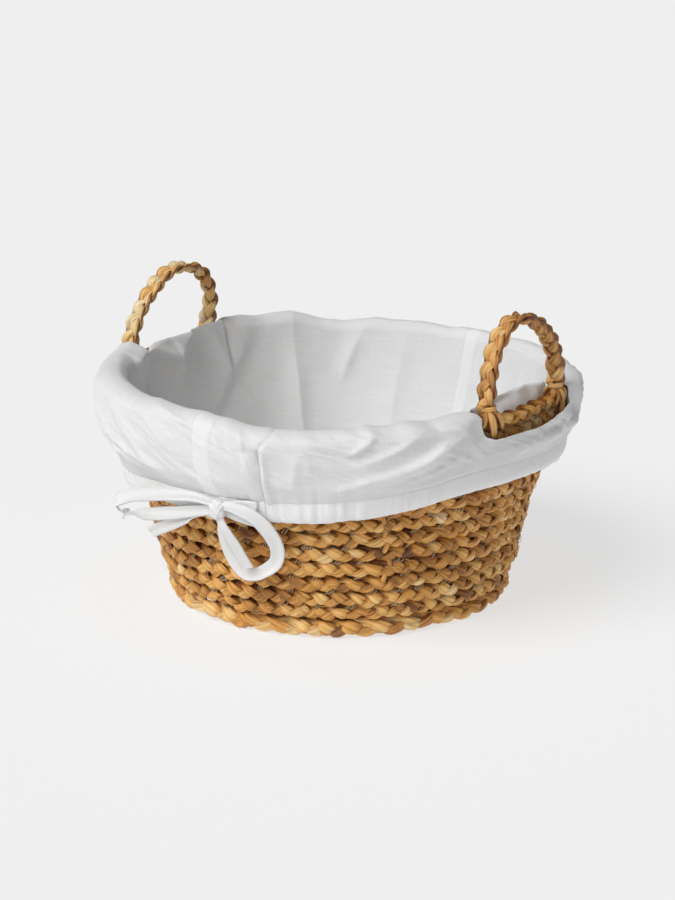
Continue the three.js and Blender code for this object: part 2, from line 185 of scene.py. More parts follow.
# ------------------------------------------------------------------ mesh building
def new_object(name, verts_mm, quads, tris=None, values=None, uv=None, material=None):
    """A smooth-shaded mesh object in metres. values: named point attributes. uv: per face corner."""
    quads = np.asarray(quads, np.int32).reshape(-1, 4)
    tris = np.zeros((0, 3), np.int32) if tris is None else np.asarray(tris, np.int32).reshape(-1, 3)
    me = bpy.data.meshes.new(name)
    me.vertices.add(len(verts_mm))
    me.vertices.foreach_set("co", (np.asarray(verts_mm, np.float64) * MM).astype(np.float32).ravel())
    loops = np.concatenate([quads.ravel(), tris.ravel()])
    starts = np.concatenate([np.arange(len(quads)) * 4, len(quads) * 4 + np.arange(len(tris)) * 3])
    me.loops.add(len(loops))
    me.loops.foreach_set("vertex_index", loops.astype(np.int32))
    me.polygons.add(len(starts))
    me.polygons.foreach_set("loop_start", starts.astype(np.int32))
    me.polygons.foreach_set("use_smooth", np.ones(len(starts), bool))
    if uv is not None:
        layer = me.uv_layers.new(name="lay")
        layer.data.foreach_set("uv", np.asarray(uv, np.float32).ravel())
    me.update(calc_edges=True)
    for key, arr in (values or {}).items():
        at = me.attributes.new(key, "FLOAT", "POINT")
        at.data.foreach_set("value", np.asarray(arr, np.float32).ravel())
    ob = bpy.data.objects.new(name, me)
    bpy.context.scene.collection.objects.link(ob)
    if material is not None:
        me.materials.append(material)
    return ob


class Pile:
    """Collects tubes into one mesh."""

    def __init__(self):
        self.v, self.q, self.t, self.uvq, self.uvt = [], [], [], [], []
        self.val = {"tone": [], "painted_light_level": []}
        self.n = 0

    def add(self, verts, quads, tris, tone, painted_light_level, uvq, uvt):
        self.v.append(verts)
        self.q.append(quads + self.n)
        self.t.append(tris + self.n)
        self.val["tone"].append(tone)
        self.val["painted_light_level"].append(painted_light_level)
        self.uvq.append(uvq)
        self.uvt.append(uvt)
        self.n += len(verts)

    def tube(self, path, width_dir, depth_dir, a, b, sides, closed, tone, painted_light_per_point, rng, ridge=0.05, ridges=6, square=0.82, s0=0.0, roundcap=True):
        """A bundle of blades swept along path. a and b are half width and half depth at each point."""
        n = len(path)
        phi = np.arange(sides) * TAU / sides
        c, s = np.cos(phi), np.sin(phi)
        X = np.sign(c) * np.abs(c) ** square
        Y = np.sign(s) * np.abs(s) ** square
        steps = np.linalg.norm(np.diff(path, axis=0, append=path[:1] if closed else path[-1:]), axis=1)
        along = s0 + np.concatenate([[0], np.cumsum(steps)[:-1]])
        total = along[-1] + (steps[-1] if closed else 0) - s0
        k = max(1, round(total / 70)) if closed else total / 70
        twist = (TAU * k * (along - s0) / max(total, 1))[:, None]
        start = rng.uniform(0, TAU)
        fold = (1 - np.abs(np.sin(0.5 * (ridges * phi[None, :] + twist + start)))) ** 2
        R = 1 - 1.7 * ridge * fold + 0.35 * ridge * np.cos((ridges - 2) * phi[None, :] - twist + rng.uniform(0, TAU))
        g = rng.uniform(0, TAU)
        swing = g + 0.9 * np.sin(twist + g)
        d = np.angle(np.exp(1j * (phi[None, :] - swing)))
        split = np.exp(-((d / 0.24) ** 2)) if ridge > 0 else 0 * d
        R = R - 2.4 * ridge * split
        a, b = np.broadcast_to(a, n)[:, None], np.broadcast_to(b, n)[:, None]
        verts = path[:, None, :] + width_dir[:, None, :] * (a * X * R)[..., None] + depth_dir[:, None, :] * (b * Y * R)[..., None]
        idx = np.arange(n * sides).reshape(n, sides)
        rows = n if closed else n - 1
        i0 = idx[:rows]
        i1 = np.roll(idx, -1, 0)[:rows]
        quads = np.stack([i0, np.roll(i0, -1, 1), np.roll(i1, -1, 1), i1], -1).reshape(-1, 4)
        length_next = along[:rows] + steps[:rows]
        j = np.arange(sides)
        per = 2.6 * (float(np.mean(a)) + float(np.mean(b)))
        u0 = np.broadcast_to(along[:rows, None], (rows, sides))
        u1 = np.broadcast_to(length_next[:, None], (rows, sides))
        v0 = np.broadcast_to(per * j / sides, (rows, sides))
        v1 = np.broadcast_to(per * (j + 1) / sides, (rows, sides))
        uvq = np.stack([np.stack([u0, v0], -1), np.stack([u0, v1], -1), np.stack([u1, v1], -1), np.stack([u1, v0], -1)], -2).reshape(-1, 2)
        tris, uvt = np.zeros((0, 3), int), np.zeros((0, 2))
        extra_v, tone_v = np.zeros((0, 3)), np.zeros(0)
        tone = np.broadcast_to(np.asarray(tone, float).reshape(-1, 1) if np.ndim(tone) else tone, (n, sides))
        painted_light_level = np.broadcast_to(np.asarray(painted_light_per_point, float).reshape(-1, 1) if np.ndim(painted_light_per_point) == 1 else painted_light_per_point, (n, sides))
        # painted shade: the blades' creases and split are painted darker
        if ridge > 0:
            painted_light_level = painted_light_level * (1 - 0.42 * fold) * (1 - 0.40 * split)
        if not closed:
            lo, hi = n * sides, n * sides + 1
            ends = unit(np.stack([path[0] - path[1], path[-1] - path[-2]]))
            reach = 0.35 * float(np.min([a[0, 0], b[0, 0]])) if roundcap else 0
            extra_v = np.stack([path[0] + ends[0] * reach, path[-1] + ends[1] * reach])
            t0 = np.stack([np.full(sides, lo), np.roll(idx[0], -1), idx[0]], -1)
            t1 = np.stack([np.full(sides, hi), idx[-1], np.roll(idx[-1], -1)], -1)
            tris = np.vstack([t0, t1])
            uvt = np.zeros((len(tris) * 3, 2))
            uvt[:, 0] = np.repeat([along[0], along[-1]], sides * 3)
            tone_v = np.array([tone[0, 0], tone[-1, 0]])
        # the end caps get a fixed painted shade of 0.4
        self.add(
            np.vstack([verts.reshape(-1, 3), extra_v]), quads, tris,
            np.concatenate([tone.ravel(), tone_v]), np.concatenate([np.array(painted_light_level, float).ravel(), tone_v * 0 + 0.4]), uvq, uvt,
        )

    def build(self, name, material, floor=None):
        v = np.vstack(self.v)
        if floor is not None:
            v[:, 2] = np.maximum(v[:, 2], floor)
        ob = new_object(
            name, v, np.vstack(self.q), np.vstack(self.t) if sum(len(t) for t in self.t) else None,
            {k: np.concatenate(a) for k, a in self.val.items()}, np.vstack(self.uvq + self.uvt), material,
        )
        return ob


# ------------------------------------------------------------------ materials
class Nodes:
    def __init__(self, name):
        self.mat = bpy.data.materials.new(name)
        self.mat.use_nodes = True
        self.t = self.mat.node_tree
        self.t.nodes.clear()
        self.out = self.t.nodes.new("ShaderNodeOutputMaterial")
        self.bsdf = self.t.nodes.new("ShaderNodeBsdfPrincipled")
        self.t.links.new(self.bsdf.outputs[0], self.out.inputs[0])

    def node(self, kind, **props):
        n = self.t.nodes.new(kind)
        for k, v in props.items():
            setattr(n, k, v)
        return n

    def link(self, a, b):
        self.t.links.new(a, b)

    def put(self, socket, value):
        if isinstance(value, bpy.types.NodeSocket):
            self.link(value, socket)
        else:
            socket.default_value = value

    def math(self, op, a, b=None, clamp=False):
        n = self.node("ShaderNodeMath", operation=op, use_clamp=clamp)
        self.put(n.inputs[0], a)
        if b is not None:
            self.put(n.inputs[1], b)
        return n.outputs[0]

    def attr(self, name):
        return self.node("ShaderNodeAttribute", attribute_name=name).outputs["Fac"]

    def uv(self, sx, sy):
        m = self.node("ShaderNodeMapping")
        m.inputs["Scale"].default_value = (sx, sy, 1)
        self.link(self.node("ShaderNodeUVMap", uv_map="lay").outputs[0], m.inputs[0])
        return m.outputs[0]

    def noise(self, vector, scale, detail=3.0, rough=0.55):
        n = self.node("ShaderNodeTexNoise")
        self.link(vector, n.inputs["Vector"])
        n.inputs["Scale"].default_value = scale
        n.inputs["Detail"].default_value = detail
        n.inputs["Roughness"].default_value = rough
        return n.outputs["Fac"]

    def ramp(self, fac, stops):
        n = self.node("ShaderNodeValToRGB")
        e = n.color_ramp.elements
        while len(e) < len(stops):
            e.new(0.5)
        for el, (pos, col) in zip(e, stops):
            el.position = pos
            el.color = (*col, 1) if len(col) == 3 else col
        self.link(fac, n.inputs[0])
        return n.outputs[0]

    def mix(self, fac, a, b, blend="MIX"):
        n = self.node("ShaderNodeMix", data_type="RGBA", blend_type=blend)
        self.put(n.inputs[0], fac)
        for s, v in ((n.inputs[6], a), (n.inputs[7], b)):
            if isinstance(v, bpy.types.NodeSocket):
                self.link(v, s)
            else:
                s.default_value = (*v, 1)
        return n.outputs[2]

    def bump(self, height, strength, distance, normal=None):
        n = self.node("ShaderNodeBump")
        n.inputs["Strength"].default_value = strength
        n.inputs["Distance"].default_value = distance
        self.link(height, n.inputs["Height"])
        if normal is not None:
            self.link(normal, n.inputs["Normal"])
        return n.outputs[0]


def seagrass(name, stops, painted_shade_colour, gloss=0.42):
    m = Nodes(name)
    fibre = m.noise(m.uv(0.035, 1.25), 1.0, 4.0, 0.65)
    streak = m.noise(m.uv(0.014, 0.45), 1.0, 3.0, 0.6)
    where = m.node("ShaderNodeTexCoord").outputs["Object"]
    blotch = m.noise(where, 42.0, 3.0)
    speck = m.noise(where, 900.0, 2.0)
    tone = m.math("ADD", m.attr("tone"), m.math("MULTIPLY", m.math("SUBTRACT", streak, 0.5), 0.95))
    tone = m.math("ADD", tone, m.math("MULTIPLY", m.math("SUBTRACT", fibre, 0.5), 0.50))
    tone = m.math("ADD", tone, m.math("MULTIPLY", m.math("SUBTRACT", blotch, 0.5), 0.40), clamp=True)
    colour = m.ramp(tone, stops)
    # greener, greyer blades here and there
    olive = m.ramp(m.noise(m.uv(0.006, 0.11), 1.0, 2.0), [(0.56, (0, 0, 0)), (0.74, (1, 1, 1))])
    colour = m.mix(m.math("MULTIPLY", olive, 0.20), colour, (0.42, 0.29, 0.085))
    # painted shade: where the blades' attribute is low, the colour is multiplied towards a dark brown that stands in
    # for shade in the crevices between and under the blades
    painted_light_level = m.attr("painted_light_level")
    colour = m.mix(m.math("SUBTRACT", 1.0, painted_light_level, clamp=True), colour, painted_shade_colour, "MULTIPLY")
    m.link(colour, m.bsdf.inputs["Base Color"])
    rough = m.math("ADD", gloss, m.math("MULTIPLY", fibre, 0.30))
    m.link(rough, m.bsdf.inputs["Roughness"])
    m.bsdf.inputs["Specular IOR Level"].default_value = 0.5
    n1 = m.bump(streak, 0.6, 0.0014)
    n2 = m.bump(fibre, 0.75, 0.0006, n1)
    n3 = m.bump(speck, 0.25, 0.0002, n2)
    m.link(n3, m.bsdf.inputs["Normal"])
    return m.mat


HONEY = [
    (0.00, (0.150, 0.052, 0.011)),
    (0.20, (0.370, 0.152, 0.027)),
    (0.40, (0.650, 0.298, 0.058)),
    (0.60, (0.860, 0.456, 0.112)),
    (0.80, (0.950, 0.635, 0.245)),
    (1.00, (0.970, 0.770, 0.440)),
]
# the third colour given is the painted shade colour for the crevices between the blades
SEAGRASS = seagrass("seagrass_plait", HONEY, (0.24, 0.095, 0.035), 0.34)
SEAGRASS_FOOT = seagrass("seagrass_foot_plait", HONEY, (0.24, 0.095, 0.035), 0.34)
STRAW = [(at, tuple(c * k + d for c, k, d in zip(col, (0.95, 0.99, 1.04), (0.0, 0.006, 0.022)))) for at, col in HONEY]
SEAGRASS_HANDLE = seagrass("seagrass_handle_plait", STRAW, (0.28, 0.12, 0.05), 0.33)


def twine_material():
    m = Nodes("stitching_twine")
    f = m.noise(m.uv(1.6, 2.0), 1.0, 2.0)
    m.link(m.ramp(f, [(0.25, (0.26, 0.17, 0.08)), (0.75, (0.62, 0.47, 0.28))]), m.bsdf.inputs["Base Color"])
    m.bsdf.inputs["Roughness"].default_value = 0.8
    m.link(m.bump(f, 0.5, 0.0004), m.bsdf.inputs["Normal"])
    return m.mat


TWINE = twine_material()


def woven_cloth(name, light, shade, pitch, slub, bump_mm, sheen):
    """A plain weave. The uv layer holds millimetres: u across the warp, v along it."""
    m = Nodes(name)
    base = m.node("ShaderNodeUVMap", uv_map="lay").outputs[0]
    sep = m.node("ShaderNodeSeparateXYZ")
    m.link(base, sep.inputs[0])
    wob = m.noise(m.uv(0.05, 0.05), 1.0, 2.0)
    u = m.math("ADD", sep.outputs[0], m.math("MULTIPLY", wob, 2.2))
    v = m.math("ADD", sep.outputs[1], m.math("MULTIPLY", wob, 1.7))
    k = TAU / (2 * pitch)
    su, sv = m.math("SINE", m.math("MULTIPLY", u, k)), m.math("SINE", m.math("MULTIPLY", v, k))
    cu, cv = m.math("COSINE", m.math("MULTIPLY", u, k)), m.math("COSINE", m.math("MULTIPLY", v, k))
    weave = m.math("ADD", m.math("MULTIPLY", m.math("ABSOLUTE", su), m.math("ABSOLUTE", sv)), m.math("MULTIPLY", m.math("MULTIPLY", cu, cv), 0.25))
    weft = m.noise(m.uv(0.024, 0.62), 1.0, 4.0, 0.7)
    warp = m.noise(m.uv(0.62, 0.024), 1.0, 4.0, 0.7)
    threads = m.math("ADD", m.math("MULTIPLY", weft, 0.6), m.math("MULTIPLY", warp, 0.4))
    cloud = m.noise(m.uv(0.011, 0.011), 1.0, 3.0)
    tone = m.math("ADD", m.math("MULTIPLY", threads, slub), m.math("MULTIPLY", cloud, 0.35))
    # the attribute lightens doubled cloth; below zero it paints shade, and the casing's raised value is partly painted
    # light
    tone = m.math("ADD", tone, m.math("MULTIPLY", m.attr("doubling_and_painted_light"), 0.25), clamp=True)
    colour = m.ramp(tone, [(0.30, shade), (0.85, light)])
    # painted shade: where the attribute goes below zero the cloth is painted a little greyer and warmer, standing in
    # for shade and warm light bounced from the seagrass
    painted_shade_tint = m.math("MULTIPLY", m.attr("doubling_and_painted_light"), -1.0, clamp=True)
    m.link(m.mix(painted_shade_tint, colour, (0.965, 0.925, 0.895), "MULTIPLY"), m.bsdf.inputs["Base Color"])
    m.bsdf.inputs["Subsurface Weight"].default_value = 0.18
    m.bsdf.inputs["Subsurface Radius"].default_value = (1.0, 0.96, 0.92)
    m.bsdf.inputs["Subsurface Scale"].default_value = 0.003
    m.bsdf.inputs["Roughness"].default_value = 0.92
    m.bsdf.inputs["Specular IOR Level"].default_value = 0.2
    m.bsdf.inputs["Sheen Weight"].default_value = sheen
    m.bsdf.inputs["Sheen Roughness"].default_value = 0.6
    n1 = m.bump(threads, 0.45, bump_mm * 1.6 * MM)
    n2 = m.bump(weave, 0.5, bump_mm * MM, n1)
    m.link(n2, m.bsdf.inputs["Normal"])
    return m.mat


LINEN = woven_cloth("liner_linen", (0.93, 0.93, 0.93), (0.75, 0.75, 0.75), 0.8, 0.80, 0.40, 0.15)
# painted light: a brighter copy of the linen for the casing, making up for the shade it lies in under the cuff
LINEN_HEM_PAINTED_LIGHT = woven_cloth("hem_linen_painted_light", (0.975, 0.975, 0.975), (0.85, 0.85, 0.85), 0.8, 0.80, 0.40, 0.15)
TAPE = woven_cloth("drawstring_tape", (0.91, 0.91, 0.905), (0.78, 0.78, 0.775), 0.55, 0.6, 0.25, 0.15)


# ------------------------------------------------------------------ drawstring tape and its bow
KNOT = (27.6, -213.4, 130.4)
LEFT_LEAD = [(63.0, -202.6, 135.6), (54.3, -206.6, 136.6), (47.0, -208.5, 136.0), (38.8, -209.2, 134.6)]
LEFT_LOOP = [
    (18.2, -215.4, 136.6), (4.1, -217.2, 138.2), (-24.3, -218.0, 135.5), (-53.8, -218.3, 130.3), (-76.7, -218.0, 124.4),
    (-90.7, -216.3, 115.2), (-84.5, -214.2, 106.6), (-58.6, -212.2, 109.7), (-24.1, -211.6, 117.2), (5, -211.2, 124.6), (18.0, -210.8, 127.8),
]
LEFT_TAIL = [(18.6, -206.8, 121.2), (3.0, -207.3, 119.2), (-14.5, -207.2, 113.4), (-39.7, -206.3, 100.7), (-58.6, -205.6, 91.2)]
RIGHT_LEAD = [(62.4, -200.9, 123.2), (53.4, -204.1, 124.2), (46.0, -205.6, 125.0), (38.2, -206.6, 126.0)]
RIGHT_LOOP = [
    (38.2, -213.4, 135.0), (49.2, -211.4, 133.6), (61.0, -205.8, 128.0), (70.4, -197.6, 115.4), (75.2, -189.5, 98.0), (71.0, -185.8, 83.5),
    (59.0, -186.0, 73.0), (45.5, -186.8, 66.8), (36.4, -188.2, 67.2), (29.0, -191.4, 76.0), (24.2, -196.5, 90.1), (23.6, -202.4, 105.4), (27.2, -208.0, 116.4),
]
RIGHT_TAIL = [(32.0, -213.6, 118.2), (36.5, -210.6, 108.4), (40.9, -204.3, 95.8), (44.3, -197.7, 81.8), (45.6, -194.2, 74.8)]


def tape_strip(name, route, faces, widths, seed, thickness=0.75):
    """A flat tape along a route. faces and widths are (fraction along, value) keys."""
    rng = np.random.default_rng(seed)
    line, length = even(catmull(route, 24, 0.5), 1.6)
    n = len(line)
    u = np.linspace(0, 1, n)
    t = unit(np.gradient(line, axis=0))
    keys = [k[0] for k in faces]
    face = np.stack([np.interp(u, keys, [unit(np.array(k[1], float))[j] for k in faces]) for j in range(3)], 1)
    face = unit(face - t * (face * t).sum(1, keepdims=True))
    side = np.cross(t, face)
    w = np.interp(u, [k[0] for k in widths], [k[1] for k in widths]) / 2
    # a long oval section, cupped a little, whose edges ripple
    m = 11
    across = np.linspace(-1, 1, m)
    x = np.concatenate([across, across[::-1][1:-1]])
    top = np.concatenate([np.ones(m), -np.ones(m - 2)])
    lip = np.sqrt(np.clip(1 - np.abs(x) ** 12, 0, 1))
    cup = 0.45 * np.sin(u * TAU * 1.7 + rng.uniform(0, 6))
    ripple = 0.22 * np.sin(np.outer(u * length / 13.0, np.ones(len(x))) + 2.2 * x[None, :] + rng.uniform(0, 6))
    fold = 0.38 * np.sin(np.outer(u * length / 29.0, np.ones(len(x))) * 1.0 + 4.0 * x[None, :] + rng.uniform(0, 6))
    y = top[None, :] * lip[None, :] * thickness / 2 + cup[:, None] * (x[None, :] ** 2 - 0.4) + ripple * np.abs(x)[None, :] + fold
    verts = line[:, None, :] + side[:, None, :] * (w[:, None] * x[None, :])[..., None] + face[:, None, :] * y[..., None]
    sides = len(x)
    idx = np.arange(n * sides).reshape(n, sides)
    i0, i1 = idx[:-1], idx[1:]
    quads = np.stack([i0, i1, np.roll(i1, -1, 1), np.roll(i0, -1, 1)], -1).reshape(-1, 4)
    s = u * length
    ux = np.where(top > 0, x, 2.2 - x) * 5.5
    uxn = np.roll(ux, -1).copy()
    uvq = np.empty((n - 1, sides, 4, 2))
    uvq[:, :, 0, 0], uvq[:, :, 1, 0], uvq[:, :, 2, 0], uvq[:, :, 3, 0] = ux, ux, uxn, uxn
    uvq[:, :, 0, 1] = uvq[:, :, 3, 1] = s[:-1, None]
    uvq[:, :, 1, 1] = uvq[:, :, 2, 1] = s[1:, None]
    # flat ends, fanned from the middle of the section
    c = np.stack([verts[0].mean(0), verts[-1].mean(0)])
    lo, hi = n * sides, n * sides + 1
    t0 = np.stack([np.full(sides, lo), idx[0], np.roll(idx[0], -1)], -1)
    t1 = np.stack([np.full(sides, hi), np.roll(idx[-1], -1), idx[-1]], -1)
    tris = np.vstack([t0, t1])
    ob = new_object(
        name, np.vstack([verts.reshape(-1, 3), c]), quads, tris,
        {"doubling_and_painted_light": np.full(n * sides + 2, 0.5)}, np.vstack([uvq.reshape(-1, 2), np.zeros((len(tris) * 3, 2))]), TAPE,
    )
    flip_outward(ob)
    return ob, line, length


def flip_outward(ob):
    """Turns a closed mesh's faces outward if they look inward."""
    import bmesh
    bm = bmesh.new()
    bm.from_mesh(ob.data)
    bmesh.ops.recalc_face_normals(bm, faces=bm.faces[:])
    bm.to_mesh(ob.data)
    bm.free()


def build_bow():
    front, back = (0.10, -0.995, 0.0), (-0.10, 0.995, 0.0)
    kx, ky, kz = KNOT
    left = LEFT_LEAD + [(30.0, -212.0, 133.5)] + LEFT_LOOP + [(26.5, -209.0, 126.0)] + LEFT_TAIL
    ob1, line1, len1 = tape_strip(
        "bow_tape_left", left,
        [(0, front), (0.13, front), (0.36, front), (0.43, (-0.75, -0.65, 0.1)), (0.475, (-0.98, 0.0, 0.2)), (0.52, (-0.6, 0.78, 0.1)), (0.58, back), (0.76, back), (0.84, (0, -0.4, 0.9)), (0.88, front), (1, (0.05, -0.9, -0.4))],
        [(0, 12.0), (0.07, 9), (0.12, 7.5), (0.2, 10), (0.30, 13), (0.46, 12.5), (0.60, 13), (0.72, 10), (0.78, 7), (0.84, 9.5), (0.9, 12.5), (1, 12.5)],
        21,
    )
    right = RIGHT_LEAD + [(31.0, -211.5, 130.0)] + RIGHT_LOOP + [(28.6, -213.0, 124.5)] + RIGHT_TAIL
    ob2, line2, len2 = tape_strip(
        "bow_tape_right", right,
        [(0, (0.3, -0.95, 0)), (0.12, front), (0.2, (0.2, -0.98, 0.1)), (0.34, (0.42, -0.9, 0.12)), (0.5, (0.36, -0.92, 0.15)), (0.62, (0.2, -0.97, 0.1)), (0.76, (0.05, -1.0, 0.1)), (0.86, front), (1, (0.2, -0.97, 0.1))],
        [(0, 12.0), (0.08, 9), (0.13, 7.5), (0.2, 11.5), (0.3, 13.8), (0.42, 13.2), (0.5, 12.0), (0.62, 13), (0.76, 10.5), (0.82, 8), (0.88, 11), (1, 12.5)],
        22,
    )
    knot = build_knot()
    for ob in (ob1, ob2, knot):
        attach(ob, "liner")
    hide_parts("bow_loop_left", "bow_tail_left", "drawstring_lead_upper")
    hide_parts("bow_loop_right", "bow_tail_right", "drawstring_lead_lower")
    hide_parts("bow_knot")
    print("TAPES", round(len1, 1), round(len2, 1))


def build_knot():
    """The knot: an egg of wrapped tape, pinched where the turns cross it."""
    n, m = 40, 56
    th = np.linspace(0.03, math.pi - 0.03, n)[:, None]
    ph = (np.arange(m) * TAU / m)[None, :]
    x, y, z = np.sin(th) * np.cos(ph), np.sin(th) * np.sin(ph), np.cos(th) + 0 * ph
    wrap = 0.09 * np.cos(7.0 * (0.9 * z + 0.45 * x)) + 0.05 * np.cos(13.0 * (z * 0.6 - x) + 1.0)
    lump = 0.08 * noise3(x * 1.7 + 4, y * 1.7, z * 1.7)
    r = 0.98 + wrap + lump - 0.10 * np.exp(-(((z + 0.1 * x) / 0.25) ** 2))
    p = np.stack([x * r * 7.9, y * r * 6.6, z * r * 9.2], -1)
    a = math.radians(7.5)
    p = p @ np.array([[math.cos(a), math.sin(a), 0], [-math.sin(a), math.cos(a), 0], [0, 0, 1]])
    p = p + np.array(KNOT)
    idx = np.arange(n * m).reshape(n, m)
    i0, i1 = idx[:-1], idx[1:]
    quads = np.stack([i0, i1, np.roll(i1, -1, 1), np.roll(i0, -1, 1)], -1).reshape(-1, 4)
    uv = np.empty((n - 1, m, 4, 2))
    j = np.arange(m) * 0.9
    uv[:, :, 0, 0] = uv[:, :, 1, 0] = j
    uv[:, :, 2, 0] = uv[:, :, 3, 0] = j + 0.9
    r_ = np.arange(n) * 0.7
    uv[:, :, 0, 1] = uv[:, :, 3, 1] = r_[:-1, None]
    uv[:, :, 1, 1] = uv[:, :, 2, 1] = r_[1:, None]
    top, low = p[0].mean(0), p[-1].mean(0)
    tris = np.vstack([
        np.stack([np.full(m, n * m), idx[0], np.roll(idx[0], -1)], -1),
        np.stack([np.full(m, n * m + 1), np.roll(idx[-1], -1), idx[-1]], -1),
    ])
    ob = new_object("bow_knot_wrap", np.vstack([p.reshape(-1, 3), top, low]), quads, tris, {"doubling_and_painted_light": np.full(n * m + 2, 0.5)}, np.vstack([uv.reshape(-1, 2), np.zeros((len(tris) * 3, 2))]), TAPE)
    flip_outward(ob)
    return ob


build_bow()


# ------------------------------------------------------------------ plaits
def strand_frame(path, out, closed, roll=None):
    """Width and depth directions of a strand whose broad side looks along out."""
    if closed:
        t = unit(np.roll(path, -1, 0) - np.roll(path, 1, 0))
    else:
        t = unit(np.gradient(path, axis=0))
    d = unit(out - t * (out * t).sum(1, keepdims=True))
    w = np.cross(t, d)
    if roll is not None:
        c, s = np.cos(roll)[:, None], np.sin(roll)[:, None]
        w, d = w * c + d * s, d * c - w * s
    return w, d


def plait_strands(pile, axis, up, out, theta, A, B, a, b, sides, closed, rng, flip=1.0, tones=0.5, ridge=0.05, wander=0.5, skew=0.6, thin=0.74, elbow=0.10, both=False, back=1.0):
    """Three strands plaited along axis points. up and out are unit directions at each point; theta is
    the plait's phase there. A and B are the swing along up and out; a and b a strand's half sizes."""
    n = len(axis)
    x = np.linspace(0, TAU, n, endpoint=False)
    f = max(3, int(abs(theta[-1] - theta[0]) / TAU))
    A, B, a, b = (np.broadcast_to(q, n).astype(float) for q in (A, B, a, b))
    for k in range(3):
        th = theta + TAU * k / 3
        v = A * np.sin(th) + wander * waves(x, f // 2 + 1, 2 * f, 7, rng)
        w = -flip * B * np.sin(2 * th - flip * skew) + 0.5 * wander * waves(x, f // 2 + 1, 2 * f, 7, rng)
        path = axis + up * v[:, None] + out * w[:, None]
        lean = 0.75 * np.sin(th)
        face = out * np.cos(lean)[:, None] + up * np.sin(lean)[:, None]
        wd, dd = strand_frame(path, face, closed, 0.12 * waves(x, f, 3 * f, 5, rng))
        face_on = smooth(np.clip(np.maximum(w, -back * w) / np.maximum(B, 1e-6), 0, 1) * 1.15)
        size = (thin + (1.08 - thin) * face_on) * (1 + 0.12 * waves(x, f, 3 * f, 7, rng)) * (1 - elbow * np.abs(np.sin(th)) ** 8)
        seg = np.floor(th / math.pi + 1000).astype(int)
        table = rng.normal(0, 1, int(seg.max() - seg.min()) + 2)
        per = int(round(abs(theta[-1] - theta[0]) / math.pi)) + 1
        raw = table[seg - seg.min()]
        if closed:
            # the last segment is the first again
            raw = np.where(seg - seg.min() >= len(table) - 1, table[0], raw)
        kernel = np.ones(3) / 3
        raw = np.convolve(np.pad(raw, 1, mode="wrap" if closed else "edge"), kernel, "valid")
        tone = tones + 0.15 * raw + 0.06 * rng.normal() + 0.05 * waves(x, 2, f, 5, rng)
        phi = np.arange(sides) * TAU / sides
        depth = (w[:, None] + (b[:, None] * np.sin(phi)[None, :])) / (B + b)[:, None]
        if both:
            depth = 1.9 * np.abs(depth) - 0.55
        edge = np.abs(np.cos(phi))[None, :] ** 6
        # painted shade: the open faces on both sides of the plait keep their colour; what lies between them, and the
        # blades' edges, are painted darker
        painted_light_level = np.maximum(smooth((depth + 0.45) / 0.95), 0.8 * smooth((-depth - 0.35) / 0.45)) * (1 - 0.35 * edge)
        pile.tube(path, wd, dd, a * size, b * size, sides, closed, tone, painted_light_level, rng, ridge=ridge)


def ring_rows():
    z = np.linspace(FOOT_HEIGHT, RIM_TOP, 400)
    r = wall_outer(z) - WALL_T / 2
    s = np.concatenate([[0], np.cumsum(np.hypot(np.diff(r), np.diff(z)))])
    at = lambda q: np.array([np.interp(q * s[-1], s, r), np.interp(q * s[-1], s, z)])
    rows = []
    for i in range(RINGS):
        lo, mid, hi = at(i / RINGS), at((i + 0.5) / RINGS), at((i + 1) / RINGS)
        t = (hi - lo) / np.linalg.norm(hi - lo)
        rows.append((mid, t, np.array([t[1], -t[0]]), np.linalg.norm(hi - lo)))
    return rows


ROWS = ring_rows()


def ring_plait(name, node, centre, t, n, period, A, B, a, b, steps, sides, seed, material, floor=None, flip=1.0, tones=0.5, drift=0.45, dip=0.0, wander=0.7, back=1.0):
    rng = np.random.default_rng(seed)
    turns = int(round(TAU * centre[0] / period))
    m = turns * steps
    psi = np.arange(m) * TAU / m
    radial = ring_point(psi, 1.0, 0.0)
    upz = np.array([0, 0, 1.0])
    wob_r = 0.6 * waves(psi, 2, 9, 6, rng) + 0.3 * waves(psi, 9, 30, 6, rng)
    wob_z = 0.6 * waves(psi, 2, 12, 6, rng) + 0.3 * waves(psi, 9, 30, 6, rng) + dip * rim_sag(np.degrees(psi))
    axis = ring_point(psi, centre[0] + wob_r, centre[1] + wob_z)
    up = radial * t[0] + upz * t[1]
    out = radial * n[0] + upz * n[1]
    theta = turns * psi + rng.uniform(0, TAU) + drift * waves(psi, 2, turns, 6, rng)
    pile = Pile()
    plait_strands(pile, axis, up, out, theta, A, B, a, b, sides, True, rng, flip=flip, tones=tones, wander=wander, ridge=0.10, back=back)
    ob = pile.build(name, material, floor)
    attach(ob, "basket")
    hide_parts(node)
    return ob


def rim_sag(psi_deg):
    """The rim dips a little beside the bow."""
    p = np.mod(psi_deg + 180, 360) - 180
    return -5.2 * np.exp(-(((p - 26) / 19.0) ** 2))


def build_wall():
    for i, (mid, t, n, pitch) in enumerate(ROWS):
        node = "rim_braid" if i == RINGS - 1 else f"wall_braid_{i + 1:02d}"
        half = pitch / 2
        rim = i == RINGS - 1
        a = 4.3 if rim else 4.75
        ring_plait(
            node.replace("braid", "plait"), node, mid, t, n, 53.0, half - (0.92 if rim else 0.60) * a, 3.3, a, 2.3, 18, 28, 100 + i,
            SEAGRASS, tones=0.42 if rim else 0.50, dip={10: 0.3, 11: 0.65, 12: 1.0}.get(i, 0.0), back=0.0 if i >= RINGS - 2 else 1.0,
        )


def build_foot():
    mid = np.array([155.9, 9.0])
    t = np.array([0.36, 0.93])
    t /= np.linalg.norm(t)
    n = np.array([t[1], -t[0]])
    ring_plait("foot_ring_plait", "foot_ring_braid", mid, t, n, 74.0, 4.4, 3.4, 5.9, 3.9, 26, 30, 77, SEAGRASS_FOOT, floor=0.0, tones=0.50, wander=0.9)


